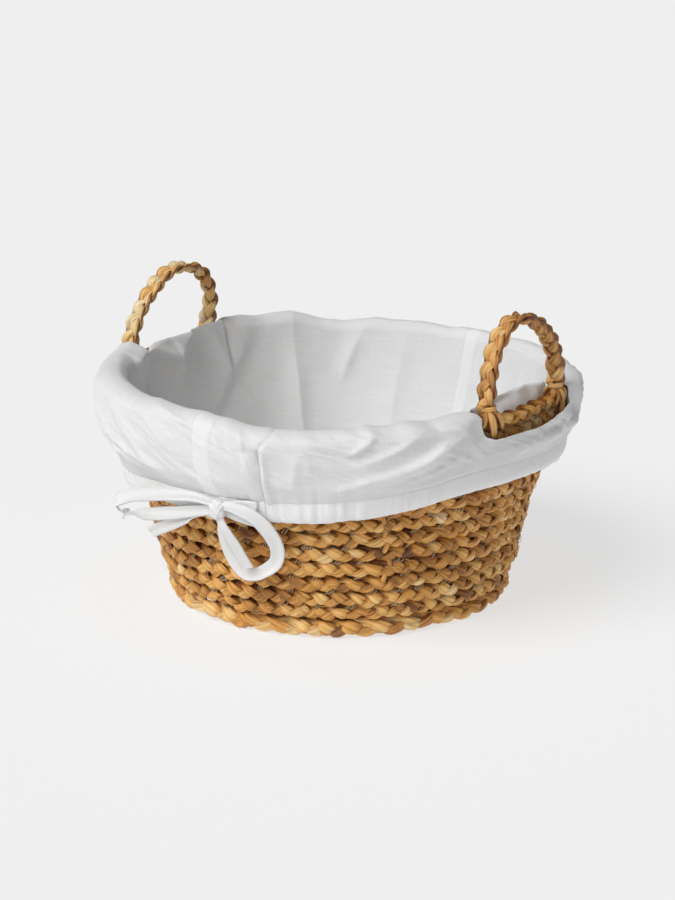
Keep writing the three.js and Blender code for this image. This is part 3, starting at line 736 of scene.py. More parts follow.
def build_floor_coil():
    rng = np.random.default_rng(55)
    first, last, pitch = 7.4, 139.2, 14.0
    turns = (last - first) / pitch
    a = np.linspace(0, turns * TAU, 6000)
    line = ring_point(a, first + (last - first) * a / a[-1], 7.0)
    line, length = even(line, 4.4)
    psi = np.arctan2(line[:, 0], -line[:, 1])
    radial = ring_point(psi, 1.0, 0.0)
    down = np.zeros_like(radial)
    down[:, 2] = -1
    theta = TAU * np.linspace(0, length, len(line)) / 46.0
    pile = Pile()
    plait_strands(pile, line, radial, down, theta, 3.8, 2.3, 3.1, 2.6, 12, False, rng, tones=0.45, wander=0.35)
    ob = pile.build("floor_coil_plait", SEAGRASS)
    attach(ob, "basket")
    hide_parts("floor_coil_braid")


def arch_x(y, z, side, lean):
    return side * (0.5 * np.sqrt(RIM_R**2 - y**2) + 0.5 * CHORD_X + lean * (z - RIM_R))


def build_handle(side_name, arch, side, lean, seed):
    rng = np.random.default_rng(seed)
    pts = [(arch_x(y, z, side, lean), y, z) for y, z in arch]
    # each leg goes on down between the rim braid and the cuff's edge
    def below(p, q):
        p, q = np.array(p, float), np.array(q, float)
        psi = math.atan2(p[0], -p[1])
        out = []
        for r, z in ((211.5, 211.5), (212.5, 206.5)):
            out.append((r * math.sin(psi), -r * math.cos(psi), z))
        return out
    lower0, lower1 = below(pts[0], pts[1]), below(pts[-1], pts[-2])
    line = catmull([lower0[1], lower0[0]] + pts + [lower1[0], lower1[1]], 24, 0.5)
    line, length = even(line, 2.1)
    n = len(line)
    s = np.linspace(0, length, n)
    t = unit(np.gradient(line, axis=0))
    xdir = np.zeros_like(line)
    xdir[:, 0] = side
    up = unit(xdir - t * (xdir * t).sum(1, keepdims=True))
    out = np.cross(t, up) * side
    # the two legs are plaited from the top down
    theta = TAU * np.abs(s - length * (0.47 if side > 0 else 0.55)) / 52.0 + rng.uniform(0, TAU)
    theta = theta + 0.35 * np.sin(s / 31.0 + 1.0)
    foot = smooth(np.minimum(s, length - s) / 16.0)
    lump = 1 + 0.05 * waves(np.linspace(0, TAU, n), 3, 14, 6, rng)
    pile = Pile()
    # painted light: the left handle's strands get a lighter tone, standing in for the key light that misses its face
    plait_strands(pile, line, up, out, theta, 5.3 * (0.55 + 0.45 * foot) * lump, 2.3 * lump, 4.7 * (0.80 + 0.20 * foot), 2.6, 28, False, rng, flip=1.0, tones=0.64 if side > 0 else 0.84, ridge=0.11, wander=0.5, skew=0.0, thin=0.88, elbow=0.12, both=True)
    ob = pile.build(f"handle_{side_name}_plait", SEAGRASS_HANDLE)
    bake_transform(ob)
    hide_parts(f"handle_{side_name}_braid")
    return line, length


def leaf(pile, pts, out, a, b, rng, tone=0.55, sides=18, taper=(0.35, 0.35), ridge=0.07, step=1.6, painted_light_level=1.0):
    """One blade bundle along a few points, thin at both ends."""
    line, length = even(catmull(pts, 16, 0.5), step)
    n = len(line)
    u = np.linspace(0, 1, n)
    out = np.asarray(out, float)
    if out.ndim == 2:
        key = np.linspace(0, 1, len(out))
        out = np.stack([np.interp(u, key, out[:, j]) for j in range(3)], 1)
    else:
        out = np.broadcast_to(out, (n, 3))
    wd, dd = strand_frame(line, out, False)
    thin = np.minimum(taper[0] + (1 - taper[0]) * smooth(u / 0.3), taper[1] + (1 - taper[1]) * smooth((1 - u) / 0.3))
    phi = np.arange(sides) * TAU / sides
    # painted shade: the blade's underside and edges are painted darker
    painted_light_mask = np.broadcast_to(painted_light_level * (1 - 0.4 * np.abs(np.cos(phi)) ** 6) * smooth((np.sin(phi) + 1.1) / 0.9), (n, sides))
    pile.tube(line, wd, dd, a * thin, b * thin, sides, False, tone + 0.06 * rng.normal() + 0.0 * u, painted_light_mask, rng, ridge=ridge)


def build_tucked_end(node, psi_deg, seed, side):
    """The strands of a leg go over the rim and down both faces of the wall."""
    rng = np.random.default_rng(seed)
    pile = Pile()
    psi = math.radians(psi_deg)
    P = lambda r, z, dpsi=0.0: tuple(ring_point(np.array(psi + math.radians(dpsi)), r, z))
    R = ring_point(np.array(psi), 1.0, 0.0)
    U = np.array([0, 0, 1.0])
    outw = [R, R, R + 0.1 * U, R]
    # down the outer face: a broad leaf in the middle, a narrower one beside it
    leaf(pile, [P(216.0, 217, -0.4), P(220.3, 209.5, -0.3), P(220.6, 202, 0.1), P(219.0, 194, 0.5), P(216.4, 186.5, 0.9)], outw, 3.9, 2.0, rng, 0.66, taper=(0.5, 0.12), ridge=0.11)
    leaf(pile, [P(214.0, 217, 1.2), P(219.3, 211.5, 1.9), P(219.6, 206, 2.7), P(218.4, 200, 3.3), P(216.5, 195, 3.8)], outw, 2.6, 1.6, rng, 0.50, taper=(0.5, 0.15), ridge=0.11)
    leaf(pile, [P(213.5, 216, -0.9), P(218.6, 210.0, -1.6), P(218.9, 204.5, -2.4), P(217.5, 199.5, -3.0)], outw, 2.0, 1.4, rng, 0.40, taper=(0.5, 0.15), ridge=0.11)
    # down the inner face
    leaf(pile, [P(209, 217, 0.2), P(203.6, 211, 0.2), P(202.0, 205.5, 0.4), P(201.6, 204.9, 0.4)], [-R, -R, -R, -R], 3.6, 1.6, rng, 0.5)
    ob = pile.build(node + "_strands", SEAGRASS_HANDLE)
    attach(ob, "basket")
    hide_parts(node)
    return ob


def build_lashing(name, body, line, length, at_mm, from_end, seed, side):
    """A strand wound once round the foot of a leg."""
    rng = np.random.default_rng(seed)
    s = np.linspace(0, length, len(line))
    q = length - at_mm if from_end else at_mm
    c = np.array([np.interp(q, s, line[:, k]) for k in range(3)])
    c2 = np.array([np.interp(q + (-4 if from_end else 4), s, line[:, k]) for k in range(3)])
    t = unit(c2 - c)
    y = unit(np.array([side, 0, 0.0]) - t * t[0] * side)
    x = np.cross(y, t)
    pile = Pile()
    ang = np.linspace(-0.5, TAU + 0.35, 44)
    ra, rb = 5.2, 7.6
    pts = c + np.outer(np.cos(ang) * ra, x) + np.outer(np.sin(ang) * rb, y) + np.outer((ang / TAU - 0.5) * 6.0 + 2.2 * np.sin(ang + 0.6), t)
    outv = unit(np.outer(np.cos(ang), x) + np.outer(np.sin(ang), y))
    wd, dd = strand_frame(pts, outv, False)
    u = np.linspace(0, 1, len(pts))
    thin = np.minimum(smooth(u / 0.12) * 0.6 + 0.4, smooth((1 - u) / 0.12) * 0.6 + 0.4)
    phi = np.arange(18) * TAU / 18
    # painted shade: the strand's underside and edges are painted darker
    painted_light_mask = np.broadcast_to((1 - 0.35 * np.abs(np.cos(phi)) ** 6) * smooth((np.sin(phi) + 1.1) / 0.9), (len(pts), 18))
    pile.tube(pts, wd, dd, 2.4 * thin, 0.9 * thin, 18, False, 0.62, painted_light_mask, rng, ridge=0.12)
    ob = pile.build(name, SEAGRASS_HANDLE)
    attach(ob, body)


def build_stitches():
    """Twine sewn through neighbouring rings: small slanting loops in the grooves, in short runs."""
    rng = np.random.default_rng(500)
    pile = Pile()
    for i in range(RINGS - 1):
        (c0, t0, n0, p0), (c1, t1, n1, p1) = ROWS[i], ROWS[i + 1]
        mid, t, n = (c0 + c1) / 2, unit(t0 + t1), unit(n0 + n1)
        psi = rng.uniform(0, TAU)
        end = psi + TAU - 0.1
        while psi < end:
            for _ in range(int(rng.integers(2, 6))):
                lean = 1.5 + 0.5 * rng.normal()
                reach = 2.9 + 0.5 * rng.normal()
                lift = 2.2 + 0.5 * rng.normal()
                v = np.linspace(-1, 1, 9)
                w = lift - 2.2 * v**2 + 0.4
                r = mid[0] + t[0] * v * reach + n[0] * w
                z = mid[1] + t[1] * v * reach + n[1] * w
                pts = ring_point(psi + v * lean / mid[0], r, z)
                radial = ring_point(np.full(9, psi), 1.0, 0.0)
                wd, dd = strand_frame(pts, radial, False)
                pile.tube(pts, wd, dd, 0.62, 0.5, 6, False, 0.5, 0.8, rng, ridge=0.0, square=1.0)
                psi += (2.3 + 0.3 * rng.normal()) / mid[0]
            psi += rng.uniform(9, 34) / mid[0]
    ob = pile.build("row_stitching_twine", TWINE)
    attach(ob, "basket")


def build_join_column():
    """Where the rings are joined, short upright strands cross from row to row."""
    rng = np.random.default_rng(610)
    pile = Pile()
    for i in range(2, 9):
        (c0, t0, n0, p0), (c1, t1, n1, p1) = ROWS[i], ROWS[i + 1]
        for dpsi in (rng.uniform(-1.6, 2.6),):
            psi = math.radians(50.4 + dpsi)
            R = ring_point(np.array(psi), 1.0, 0.0)
            lean = rng.normal() * 5.0
            pts = []
            for q in np.linspace(-0.5, 0.62, 5):
                base = c0 + (c1 - c0) * (q + 0.5)
                nn = n0 * (0.5 - q) + n1 * (0.5 + q)
                lift = 4.3 - 8.5 * q * q
                r, z = base + nn * lift
                pts.append(tuple(ring_point(np.array(psi + lean * q / c0[0]), r, z)))
            leaf(pile, pts, R, 2.3 + 0.3 * rng.normal(), 1.4, rng, 0.42 + 0.12 * rng.normal(), step=1.4)
    ob = pile.build("ring_join_strands", SEAGRASS)
    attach(ob, "basket")


def build_stray_fibres():
    """Loose hairs of the blades, standing off the plaits."""
    rng = np.random.default_rng(720)
    pile = Pile()
    for _ in range(190):
        i = int(rng.integers(0, RINGS - 4))
        c, t, n, p = ROWS[i]
        psi = rng.uniform(0, TAU)
        v0 = rng.uniform(-6, 6)
        L = rng.uniform(5, 15)
        dirn = rng.uniform(-1, 1)
        pts = []
        for q in np.linspace(0, 1, 7):
            lift = 4.3 + 2.6 * math.sin(q * 2.4) * rng.uniform(0.8, 1.2)
            vv = v0 + dirn * L * 0.5 * q + rng.normal() * 0.15
            r, z = c + t * vv + n * lift
            pts.append(ring_point(np.array(psi + L * q / c[0]), r, z))
        pts = np.array(pts)
        radial = ring_point(np.full(7, psi), 1.0, 0.0)
        wd, dd = strand_frame(pts, radial, False)
        thin = np.linspace(1, 0.4, 7)
        pile.tube(pts, wd, dd, 0.26 * thin, 0.22 * thin, 5, False, 0.85, 1.0, rng, ridge=0.0, square=1.0)
    ob = pile.build("stray_fibres", SEAGRASS)
    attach(ob, "basket")


build_wall()
build_foot()
build_floor_coil()
for side_name, arch, side, lean, seed in (("right", RIGHT_ARCH, 1, RIGHT_LEAN, 301), ("left", LEFT_ARCH, -1, LEFT_LEAN, 302)):
    line, length = build_handle(side_name, arch, side, lean, seed)
    build_lashing(f"handle_{side_name}_lashing_front", "handle_" + side_name, line, length, 12.5, False, seed + 10, side)
    build_lashing(f"handle_{side_name}_lashing_back", "handle_" + side_name, line, length, 12.5, True, seed + 20, side)
leg_psi = lambda y, side: 90 + math.degrees(math.asin(y / RIM_R)) if side > 0 else 270 - math.degrees(math.asin(y / RIM_R))
build_tucked_end("handle_right_tucked_end_front", leg_psi(-56, 1), 401, 1)
build_tucked_end("handle_right_tucked_end_back", leg_psi(52.5, 1), 402, 1)
build_tucked_end("handle_left_tucked_end_front", leg_psi(-69, -1), 403, -1)
build_tucked_end("handle_left_tucked_end_back", leg_psi(46, -1), 404, -1)
build_stitches()
build_join_column()
build_stray_fibres()


# ------------------------------------------------------------------ liner
def liner_inner(psi_deg, z):
    """Outer face of the bag inside the basket; straight behind each handle near the top."""
    base = np.where(z < 20, 146.1, np.minimum(wall_outer(z) - WALL_T - 3.2, 146.1 + (z - 20) * 1.2))
    p = np.mod(psi_deg, 360)
    r = base.copy()
    for lo, hi in (RIGHT_SLIT, LEFT_SLIT):
        mid, half = (lo + hi) / 2, (hi - lo) / 2
        off = np.clip(p - mid, -half, half)
        inside = np.abs(p - mid) < half
        chord = base * math.cos(math.radians(half)) / np.cos(np.radians(off))
        r = np.where(inside, base + (chord - base) * smooth((z - 120) / 60), r)
    return r


def crease(psi, z, points, width, amp, skew=1.0, taper=14.0, radius=212.0, power=1.35):
    """A fold along a line of (psi, z) points: the height to add. skew widens one side."""
    X, Y = np.radians(psi) * radius, z
    P = np.array([(math.radians(a) * radius, b) for a, b in points])
    best = np.full(X.shape, 1e9)
    side = np.zeros(X.shape)
    along = np.zeros(X.shape)
    total = np.linalg.norm(np.diff(P, axis=0), axis=1).sum()
    run = 0.0
    for p, q in zip(P[:-1], P[1:]):
        d = q - p
        L = np.linalg.norm(d)
        raw = ((X - p[0]) * d[0] + (Y - p[1]) * d[1]) / L**2
        u = np.clip(raw, 0, 1)
        dx, dy = X - (p[0] + u * d[0]), Y - (p[1] + u * d[1])
        dist = np.hypot(dx, dy)
        sgn = np.sign(d[0] * (Y - p[1]) - d[1] * (X - p[0]))
        closer = dist < best
        best = np.where(closer, dist, best)
        side = np.where(closer, sgn, side)
        along = np.where(closer, run + u * L, along)
        run += L
    w = np.where(side > 0, width * skew, width)
    end = smooth(along / taper) * smooth((total - along) / taper)
    soft = np.sqrt(best**2 + 0.16) - 0.4
    return amp * np.exp(-((soft / w) ** power)) * (0.15 + 0.85 * end) * (best < 7 * w)


def twisted_noise(psi_deg, z, lam, lam_z, slope, seed, radius=212.0):
    """Folds about lam wide and lam_z long that lean by slope degrees of psi per mm of height."""
    p = np.radians(psi_deg + slope * z)
    return noise3(radius * np.cos(p) / lam + seed, radius * np.sin(p) / lam + 1.7 * seed, z / lam_z + 0.3 * seed)


def unwrap(psi_deg):
    """psi from -180 to 180."""
    return np.mod(psi_deg + 180, 360) - 180


RIDGE = [
    (-180, 213.0), (-175, 211.4), (-169, 212.2), (-160, 212.0), (-153, 213.8), (-143, 210.6), (-137, 213.3), (-132, 218.6), (-129, 220.5), (-120, 219.8), (-114, 221.5), (-107, 221.8),
    (-67, 221.0), (-60, 219.6), (-50, 217.6), (-40, 217), (-30, 217), (-16.6, 215.5), (-11.4, 217.3), (-6, 216), (-1, 215.4), (3.7, 215.2), (6.5, 212.8), (10.6, 212.2), (15.8, 208.4), (22, 207.0), (30.4, 207.6), (39.6, 209.5),
    (43.4, 210.8), (49, 211.1), (52.6, 213), (59, 212.7), (64.6, 216.4), (71.9, 216.5), (108, 216), (120, 214), (149.6, 212.3), (161, 212.6), (175, 211.9), (180, 213.0),
]
RIDGE_PSI, RIDGE_Z = [q[0] for q in RIDGE], [q[1] for q in RIDGE]
STAND_R = [(71, 209), (75, 210), (84.5, 210.5), (96, 213.0), (107, 216.5), (108, 216.5)]
STAND_L = [(253.5, 224.0), (262, 224.5), (270, 223.5), (280, 222.0), (288, 221.5), (291.0, 220.5), (291.9, 211.5), (293, 211.5)]
SLIT_EDGE = [(71.0, 206), (72.0, 196), (74.5, 192.3), (79, 193.2), (84, 193.5), (90, 193.7), (93.6, 196), (97.7, 200.7), (101.8, 204.4), (105, 207), (108.0, 208)]
LEFT_CLOTH_END = 291.9
LEFT_EDGE = [(253.5, 208), (256, 199), (262, 193.5), (273, 192), (284, 193.0), (290.5, 198), (293.0, 207)]


def cuff_radius(psi_deg, z):
    hem = hem_at(psi_deg)
    top = hem + CASING_H + 1
    join = wall_outer(top) + 10.9
    xs = np.stack([top, np.full_like(top, 158.0), np.full_like(top, 180.0), np.full_like(top, 196.0), np.full_like(top, 206.0)], -1)
    ys = np.stack([join, np.maximum(join + 0.5, 219.6), np.full_like(top, 225.6), np.full_like(top, 227.4), np.full_like(top, 227.8)], -1)
    # where the casing rides high there is no room for the 158 mm point
    xs[..., 1] = np.maximum(xs[..., 1], top + 3)
    r = np.empty_like(z)
    r[:] = ys[..., 0]
    for k in range(4):
        x0, x1, y0, y1 = xs[..., k], xs[..., k + 1], ys[..., k], ys[..., k + 1]
        u = np.clip((z - x0) / np.maximum(x1 - x0, 1e-6), 0, 1)
        r = np.where(z >= x0, y0 + (y1 - y0) * u, r)
    return r


def cloth_sheet(name, P, keep, uvu, uvv, doubling_and_painted_light, thickness, material, weld=0.02):
    """A grid of points (rows, columns) as a thick sheet. keep marks the faces that exist."""
    rows, cols = P.shape[:2]
    idx = np.arange(rows * cols).reshape(rows, cols)
    q = np.stack([idx[:-1, :-1], idx[:-1, 1:], idx[1:, 1:], idx[1:, :-1]], -1)[keep]
    corner = lambda M: np.stack([M[:-1, :-1], M[:-1, 1:], M[1:, 1:], M[1:, :-1]], -1)[keep]
    uv = np.stack([corner(uvu), corner(uvv)], -1).reshape(-1, 2)
    ob = new_object(name, P.reshape(-1, 3), q.reshape(-1, 4), None, {"doubling_and_painted_light": doubling_and_painted_light.ravel()}, uv, material)
    import bmesh
    bm = bmesh.new()
    bm.from_mesh(ob.data)
    bmesh.ops.delete(bm, geom=[v for v in bm.verts if not v.link_faces], context="VERTS")
    bmesh.ops.remove_doubles(bm, verts=bm.verts[:], dist=weld * MM)
    bmesh.ops.recalc_face_normals(bm, faces=bm.faces[:])
    bm.to_mesh(ob.data)
    bm.free()
    mod = ob.modifiers.new("thick", "SOLIDIFY")
    mod.thickness = thickness * MM
    mod.offset = 0.0
    mod.use_even_offset = False
    bpy.context.view_layer.objects.active = ob
    ob.select_set(True)
    bpy.ops.object.modifier_apply(modifier=mod.name)
    ob.select_set(False)
    ob.data.polygons.foreach_set("use_smooth", np.ones(len(ob.data.polygons), bool))
    return ob


def cuff_folds(psi, z):
    """Everything that lifts or sinks the folded cuff's surface, in mm, outward."""
    p = unwrap(psi)
    h = np.zeros_like(z)
    # broad slack and middle-sized wandering folds
    h += 2.0 * twisted_noise(psi, z, 60, 90, 0.0, 3.1)
    h += 1.4 * twisted_noise(psi, z, 26, 60, 0.35, 7.7)
    h += 0.9 * twisted_noise(psi, z, 12, 34, 0.5, 2.9)
    h += 0.45 * twisted_noise(psi, z, 6, 15, 0.6, 6.9)
    # sharp small wrinkles where the noise changes sign
    h += 1.1 * np.maximum(0, 1 - np.abs(twisted_noise(psi, z, 30, 46, 0.3, 12.4)) / 0.16) * (0.5 + 0.5 * twisted_noise(psi, z, 60, 60, 0, 4.2))
    h += 0.8 * np.maximum(0, 1 - np.abs(twisted_noise(psi, z, 19, 30, 0.45, 17.7)) / 0.16) * (0.5 + 0.5 * twisted_noise(psi, z, 50, 50, 0, 9.2))
    # long folds drawn from the far left down to the bow
    for line, wd, am, sk in (
        ([(-46, 188), (-37, 177), (-28, 168), (-19, 161), (-8, 156)], 2.6, 3.2, 2.2),
        ([(-42, 173), (-32, 163), (-23, 155), (-14, 148), (-6, 144)], 2.2, 2.8, 2.0),
        ([(-36, 163), (-25, 153), (-16, 145), (-6, 139)], 2.0, 2.2, 2.0),
        ([(-58, 186), (-46, 170), (-33, 156), (-24, 147)], 2.4, 2.6, 2.0),
        ([(-18, 160), (-11, 150), (-4, 144)], 1.8, 1.8, 1.6),
        ([(-12, 214), (-4, 210), (3.5, 204)], 2.2, 2.0, 0.6),
        ([(15.2, 212), (15.6, 196), (16.4, 178), (17.8, 162)], 1.8, 2.4, 0.8),
        ([(9.2, 211), (9.6, 190), (11.5, 172), (14.5, 154)], 2.2, 1.6, 1.4),
    ):
        h += crease(p, z, line, wd, am, sk, 16)
    fold = np.zeros_like(z)
    # diagonal folds pulled from the right handle down to the left
    fold += crease(p, z, [(67, 200), (60, 190), (52, 178), (44, 166), (36, 154), (30, 146)], 4.5, 3.4, 2.4, 25)
    fold += crease(p, z, [(62, 199), (57, 184), (50, 170), (44, 160)], 3.2, 2.6, 2.2, 16)
    fold += crease(p, z, [(56, 208), (50, 196), (45, 186), (40, 180)], 3.6, 2.4, 2.0, 16)
    fold += crease(p, z, [(46, 210), (42, 200), (38.5, 190)], 3.4, 2.6, 0.7, 12)
    fold += crease(p, z, [(69, 188), (62, 176), (56, 167), (50, 160)], 3.0, 2.2, 1.8, 16)
    fold += crease(p, z, [(30, 203), (28, 186), (27, 166), (25, 150)], 6.0, 1.6, 1.6, 22)
    fold += crease(p, z, [(66, 176), (63, 168), (60, 162)], 3.0, 1.6, 1.4, 10)
    # under the right handle
    fold += crease(p, z, [(92, 190), (86, 178), (78, 170)], 4.5, 2.2, 1.5, 14)
    fold += crease(p, z, [(104, 200), (98, 182), (92, 172)], 4.5, 3.0, 1.5, 14)
    fold += crease(p, z, [(114, 205), (110, 188), (106, 170)], 6.0, 3.4, 1.2, 14)
    # left of the front seam
    fold += crease(p, z, [(-62, 205), (-52, 190), (-42, 172), (-36, 158)], 4.0, 2.0, 1.6, 18)
    fold += crease(p, z, [(-48, 206), (-40, 188), (-31, 168), (-25, 152)], 3.4, 1.8, 1.6, 18)
    fold += crease(p, z, [(-30, 205), (-24, 190), (-17, 172), (-12, 156)], 3.6, 1.5, 1.6, 18)
    fold += crease(p, z, [(-13, 207), (-9, 194), (-4, 180)], 3.6, 1.6, 1.5, 14)
    fold += crease(p, z, [(11.5, 205), (13.5, 186), (15.5, 168), (17.0, 152)], 3.0, 1.8, 1.4, 14)
    fold += crease(p, z, [(14.5, 208), (16.5, 192), (18.0, 176)], 2.2, 1.6, 1.0, 12)
    h += 1.45 * fold
    # the slack cuff bulges and nips in at the right
    side = smooth((p - 76) / 14) * smooth((136 - p) / 16)
    h += side * (2.2 - 3.2 * np.exp(-(((z - 187 - 0.12 * (p - 100)) / 7.0) ** 2)) - 2.4 * np.exp(-(((z - 165) / 6.0) ** 2)))
    return h


def gathers(psi, seed=5.0):
    """Small vertical gathers of the drawn casing, about unit size."""
    p = np.radians(psi)
    R = 205.0
    broad = noise3(R * np.cos(p) / 34, R * np.sin(p) / 34 + seed, 0 * p)
    fine = noise3(R * np.cos(p) / 7.5 + seed, R * np.sin(p) / 7.5, 0 * p + seed)
    finer = noise3(R * np.cos(p) / 4.0 + 3 * seed, R * np.sin(p) / 4.0, 0 * p + seed)
    return (0.8 + 0.7 * broad) * (1.3 * fine + 0.5 * finer)


def build_liner():
    cols = 1000
    psi = np.linspace(CASING_SLIT, CASING_SLIT + 360, cols + 1)
    # the profile from the floor seam up, over the rim and down to the casing, as row groups
    wall_z = np.concatenate([[14.2, 15.2, 17.0, 19.6], np.linspace(23, 203.4, 58)])
    roll = [(201.8, 203.4), (202.5, 206.6), (203.9, 209.8), (206.2, 212.3), (209.2, 213.7), (212.4, 213.9), (215.6, 213.6), (218.6, 212.8), (221.3, 211.6), (223.7, 210.1), (225.5, 208.5), (226.7, 206.8), (227.3, 205.0)]
    roll = np.array(roll)
    roll_fine = catmull(roll, 2)
    cuff_n = 46
    in_notch = np.zeros(cols + 1, bool)
    pm = np.mod(psi, 360)
    for lo, hi in (RIGHT_SLIT, (LEFT_SLIT[0], LEFT_CLOTH_END)):
        in_notch |= (pm > lo) & (pm < hi)
    edge = np.full(cols + 1, 205.0)
    r_in = (pm > RIGHT_SLIT[0]) & (pm < RIGHT_SLIT[1])
    l_in = (pm > LEFT_SLIT[0]) & (pm < LEFT_CLOTH_END)
    edge[r_in] = np.interp(pm[r_in], [e[0] for e in SLIT_EDGE], [e[1] for e in SLIT_EDGE])
    edge[l_in] = np.interp(pm[l_in], [e[0] for e in LEFT_EDGE], [e[1] for e in LEFT_EDGE])
    edge = np.minimum(edge, 205.0)
    PSI, Z, Rr, group = [], [], [], []
    for z in wall_z:
        PSI.append(psi)
        Z.append(np.full_like(psi, z))
        base = liner_inner(psi, np.full_like(psi, z)) - 1.0
        if z < 19:
            base = base - (19 - z) ** 2 * 0.14
        Rr.append(base)
        group.append(0)
    top_in = Rr[-1].copy()
    for r, z in roll_fine[1:]:
        PSI.append(psi)
        Z.append(np.full_like(psi, z))
        blend = smooth((z - 203.4) / 8) if r < 212 else 1.0
        Rr.append(top_in + (r - top_in) * max(blend, (r - 201.8) / 26.0))
        group.append(1)
    hem = hem_at(psi)
    top = hem + CASING_H + 0.6
    for k in range(1, cuff_n + 1):
        u = k / cuff_n
        z = edge + (top - edge) * u
        PSI.append(psi)
        Z.append(z)
        Rr.append(cuff_radius(psi, z) - 0.2)
        group.append(2)
    PSI, Z, Rr, group = np.array(PSI), np.array(Z), np.array(Rr), np.array(group)
    n_wall, n_roll = len(wall_z), len(roll_fine) - 1

    # ---- folds. Weights: the inner bag, the roll over the rim, the cuff
    p180 = unwrap(PSI)
    inner = (group == 0)[:, None] & np.ones_like(Z, bool)
    cuff = (group == 2)[:, None] & np.ones_like(Z, bool)
    h_in = 1.6 * twisted_noise(PSI, Z, 70, 160, 0.0, 5.3) + 1.0 * twisted_noise(PSI, Z, 30, 90, 0.12, 1.9) + 0.45 * twisted_noise(PSI, Z, 13, 50, -0.2, 8.8)
    h_in += 0.25 * twisted_noise(PSI, Z, 7, 20, 0.4, 4.4)
    fade = smooth((Z - 14) / 30) * smooth((225 - Z) / 20)
    # the bag's own creases: a standing fold at the back left, softer ones round it
    h_in -= crease(p180, Z, [(-128.6, 216), (-129, 170), (-129.6, 110), (-130, 40)], 15.0, 8.5, 1.6, 62, 200, 1.05)
    h_in -= crease(p180, Z, [(-163, 210), (-161, 150), (-160, 90)], 9, 2.6, 1.6, 25, 200)
    h_in -= crease(p180, Z, [(176, 212), (176.5, 120), (177, 40)], 3.4, 1.0, 1.0, 20, 200, 2.0)
    h_in -= crease(p180, Z, [(150, 208), (153, 150), (150, 90)], 9, 2.6, 1.5, 25, 200)
    h_in -= crease(p180, Z, [(120, 205), (128, 160), (132, 100)], 8, 3.0, 1.8, 25, 200)
    h_in -= crease(p180, Z, [(170, 206), (164, 178), (160, 150), (156, 118)], 6, 3.0, 1.5, 20, 200)
    h_in -= crease(p180, Z, [(-150, 206), (-146, 180), (-143, 150)], 6, 3.2, 1.5, 20, 200)
    h_in -= crease(p180, Z, [(-117, 206), (-110, 184), (-102, 158), (-98, 130)], 8, 5.0, 1.6, 34, 200, 1.6)
    h_in -= crease(p180, Z, [(-100, 204), (-104, 176), (-110, 150), (-118, 120)], 8, 4.0, 1.8, 30, 200, 1.6)
    # in the left notch: a sharp pleat and the lobe of cloth turned in past the front leg
    h_in -= crease(p180, Z, [(-91, 203), (-87, 196), (-82, 187)], 3.0, 8.0, 3.0, 7, 200, 1.1)
    h_in -= crease(p180, Z, [(-60, 206), (-69, 201), (-76, 193), (-82, 186), (-84, 172)], 5.0, 9.0, 2.0, 8, 200, 1.3)
    # in the right notch: the edge folds softly towards the back leg
    h_in -= crease(p180, Z, [(78, 192), (90, 199), (101, 203)], 3.0, 3.5, 2.5, 10, 200)
    behind = np.zeros_like(Z)
    for lo, hi in (RIGHT_SLIT, LEFT_SLIT):
        mid, half = (lo + hi) / 2, (hi - lo) / 2
        behind = np.maximum(behind, smooth((half + 2 - np.abs(np.mod(PSI, 360) - mid)) / 3) * smooth((Z - 150) / 30))
    h_in = h_in * fade
    # outside it only sinks inwards behind a handle
    h_in = np.where(behind > 0, h_in * (1 - behind) + np.minimum(h_in, -0.2) * behind, h_in)
    h_in = np.minimum(h_in, 2.0)

    h_out = cuff_folds(PSI, Z)
    gat = gathers(PSI)
    near = np.exp(-np.maximum(Z - top[None, :], 0) / 15.0)
    h_out = h_out * smooth((Z - top[None, :]) / 26.0) + (gat * 1.5 + 0.9 * twisted_noise(PSI, Z, 38, 60, 0, 3.3)) * near
    # the top of the roll rises and falls
    crown = np.interp(unwrap(PSI), RIDGE_PSI, RIDGE_Z) - 213.4
    lift = crown + 0.5 * twisted_noise(PSI, 0 * Z, 17, 1, 0, 9.1)
    for at, w, amount in ((-163, 5, 0.8), (-127, 4, 1.0), (176, 4, 0.6), (44, 2.0, 1.2), (-13, 3, 0.8)):
        lift = lift + amount * np.exp(-((unwrap(PSI - at) / w) ** 2))
    roll_on = np.where((group == 1)[:, None], 1.0, np.where(cuff, smooth((Z - 186) / 18), smooth((Z - 185) / 18)))
    notch_w = np.zeros(cols + 1)
    for lo, hi in (RIGHT_SLIT, LEFT_SLIT):
        mid, half = (lo + hi) / 2, (hi - lo) / 2
        if lo < 180:
            notch_w = np.maximum(notch_w, smooth((half + 3 - np.abs(pm - mid)) / 4))
        else:
            notch_w = np.maximum(notch_w, smooth((pm - lo + 3) / 4) * smooth((LEFT_CLOTH_END + 0.2 - pm) / 1.0))
    Z2 = Z + lift * roll_on * (1 - notch_w[None, :])
    # behind each handle the bag's own edge stands up above the rim
    stand = np.zeros(cols + 1)
    stand[r_in] = np.interp(pm[r_in], [STAND_R[0][0] - 1, *[q[0] for q in STAND_R]], [STAND_R[0][1], *[q[1] for q in STAND_R]]) - 203.4
    stand[l_in] = np.interp(pm[l_in], [q[0] for q in STAND_L], [q[1] for q in STAND_L]) - 203.4
    ramp = np.zeros(cols + 1)
    for lo, hi in (RIGHT_SLIT, LEFT_SLIT):
        # the end next to the viewer is cut square, the far end runs out softly into the bag
        near_end, far_end = (pm - lo, hi - pm) if lo < 180 else (hi - pm, pm - lo)
        ramp = np.maximum(ramp, smooth((near_end + 1.0) / 1.0) * smooth((far_end + 1.0) / 1.6))
    Z2 = Z2 + (group == 0)[:, None] * (stand * ramp)[None, :] * smooth((Z - 150) / 53.4)
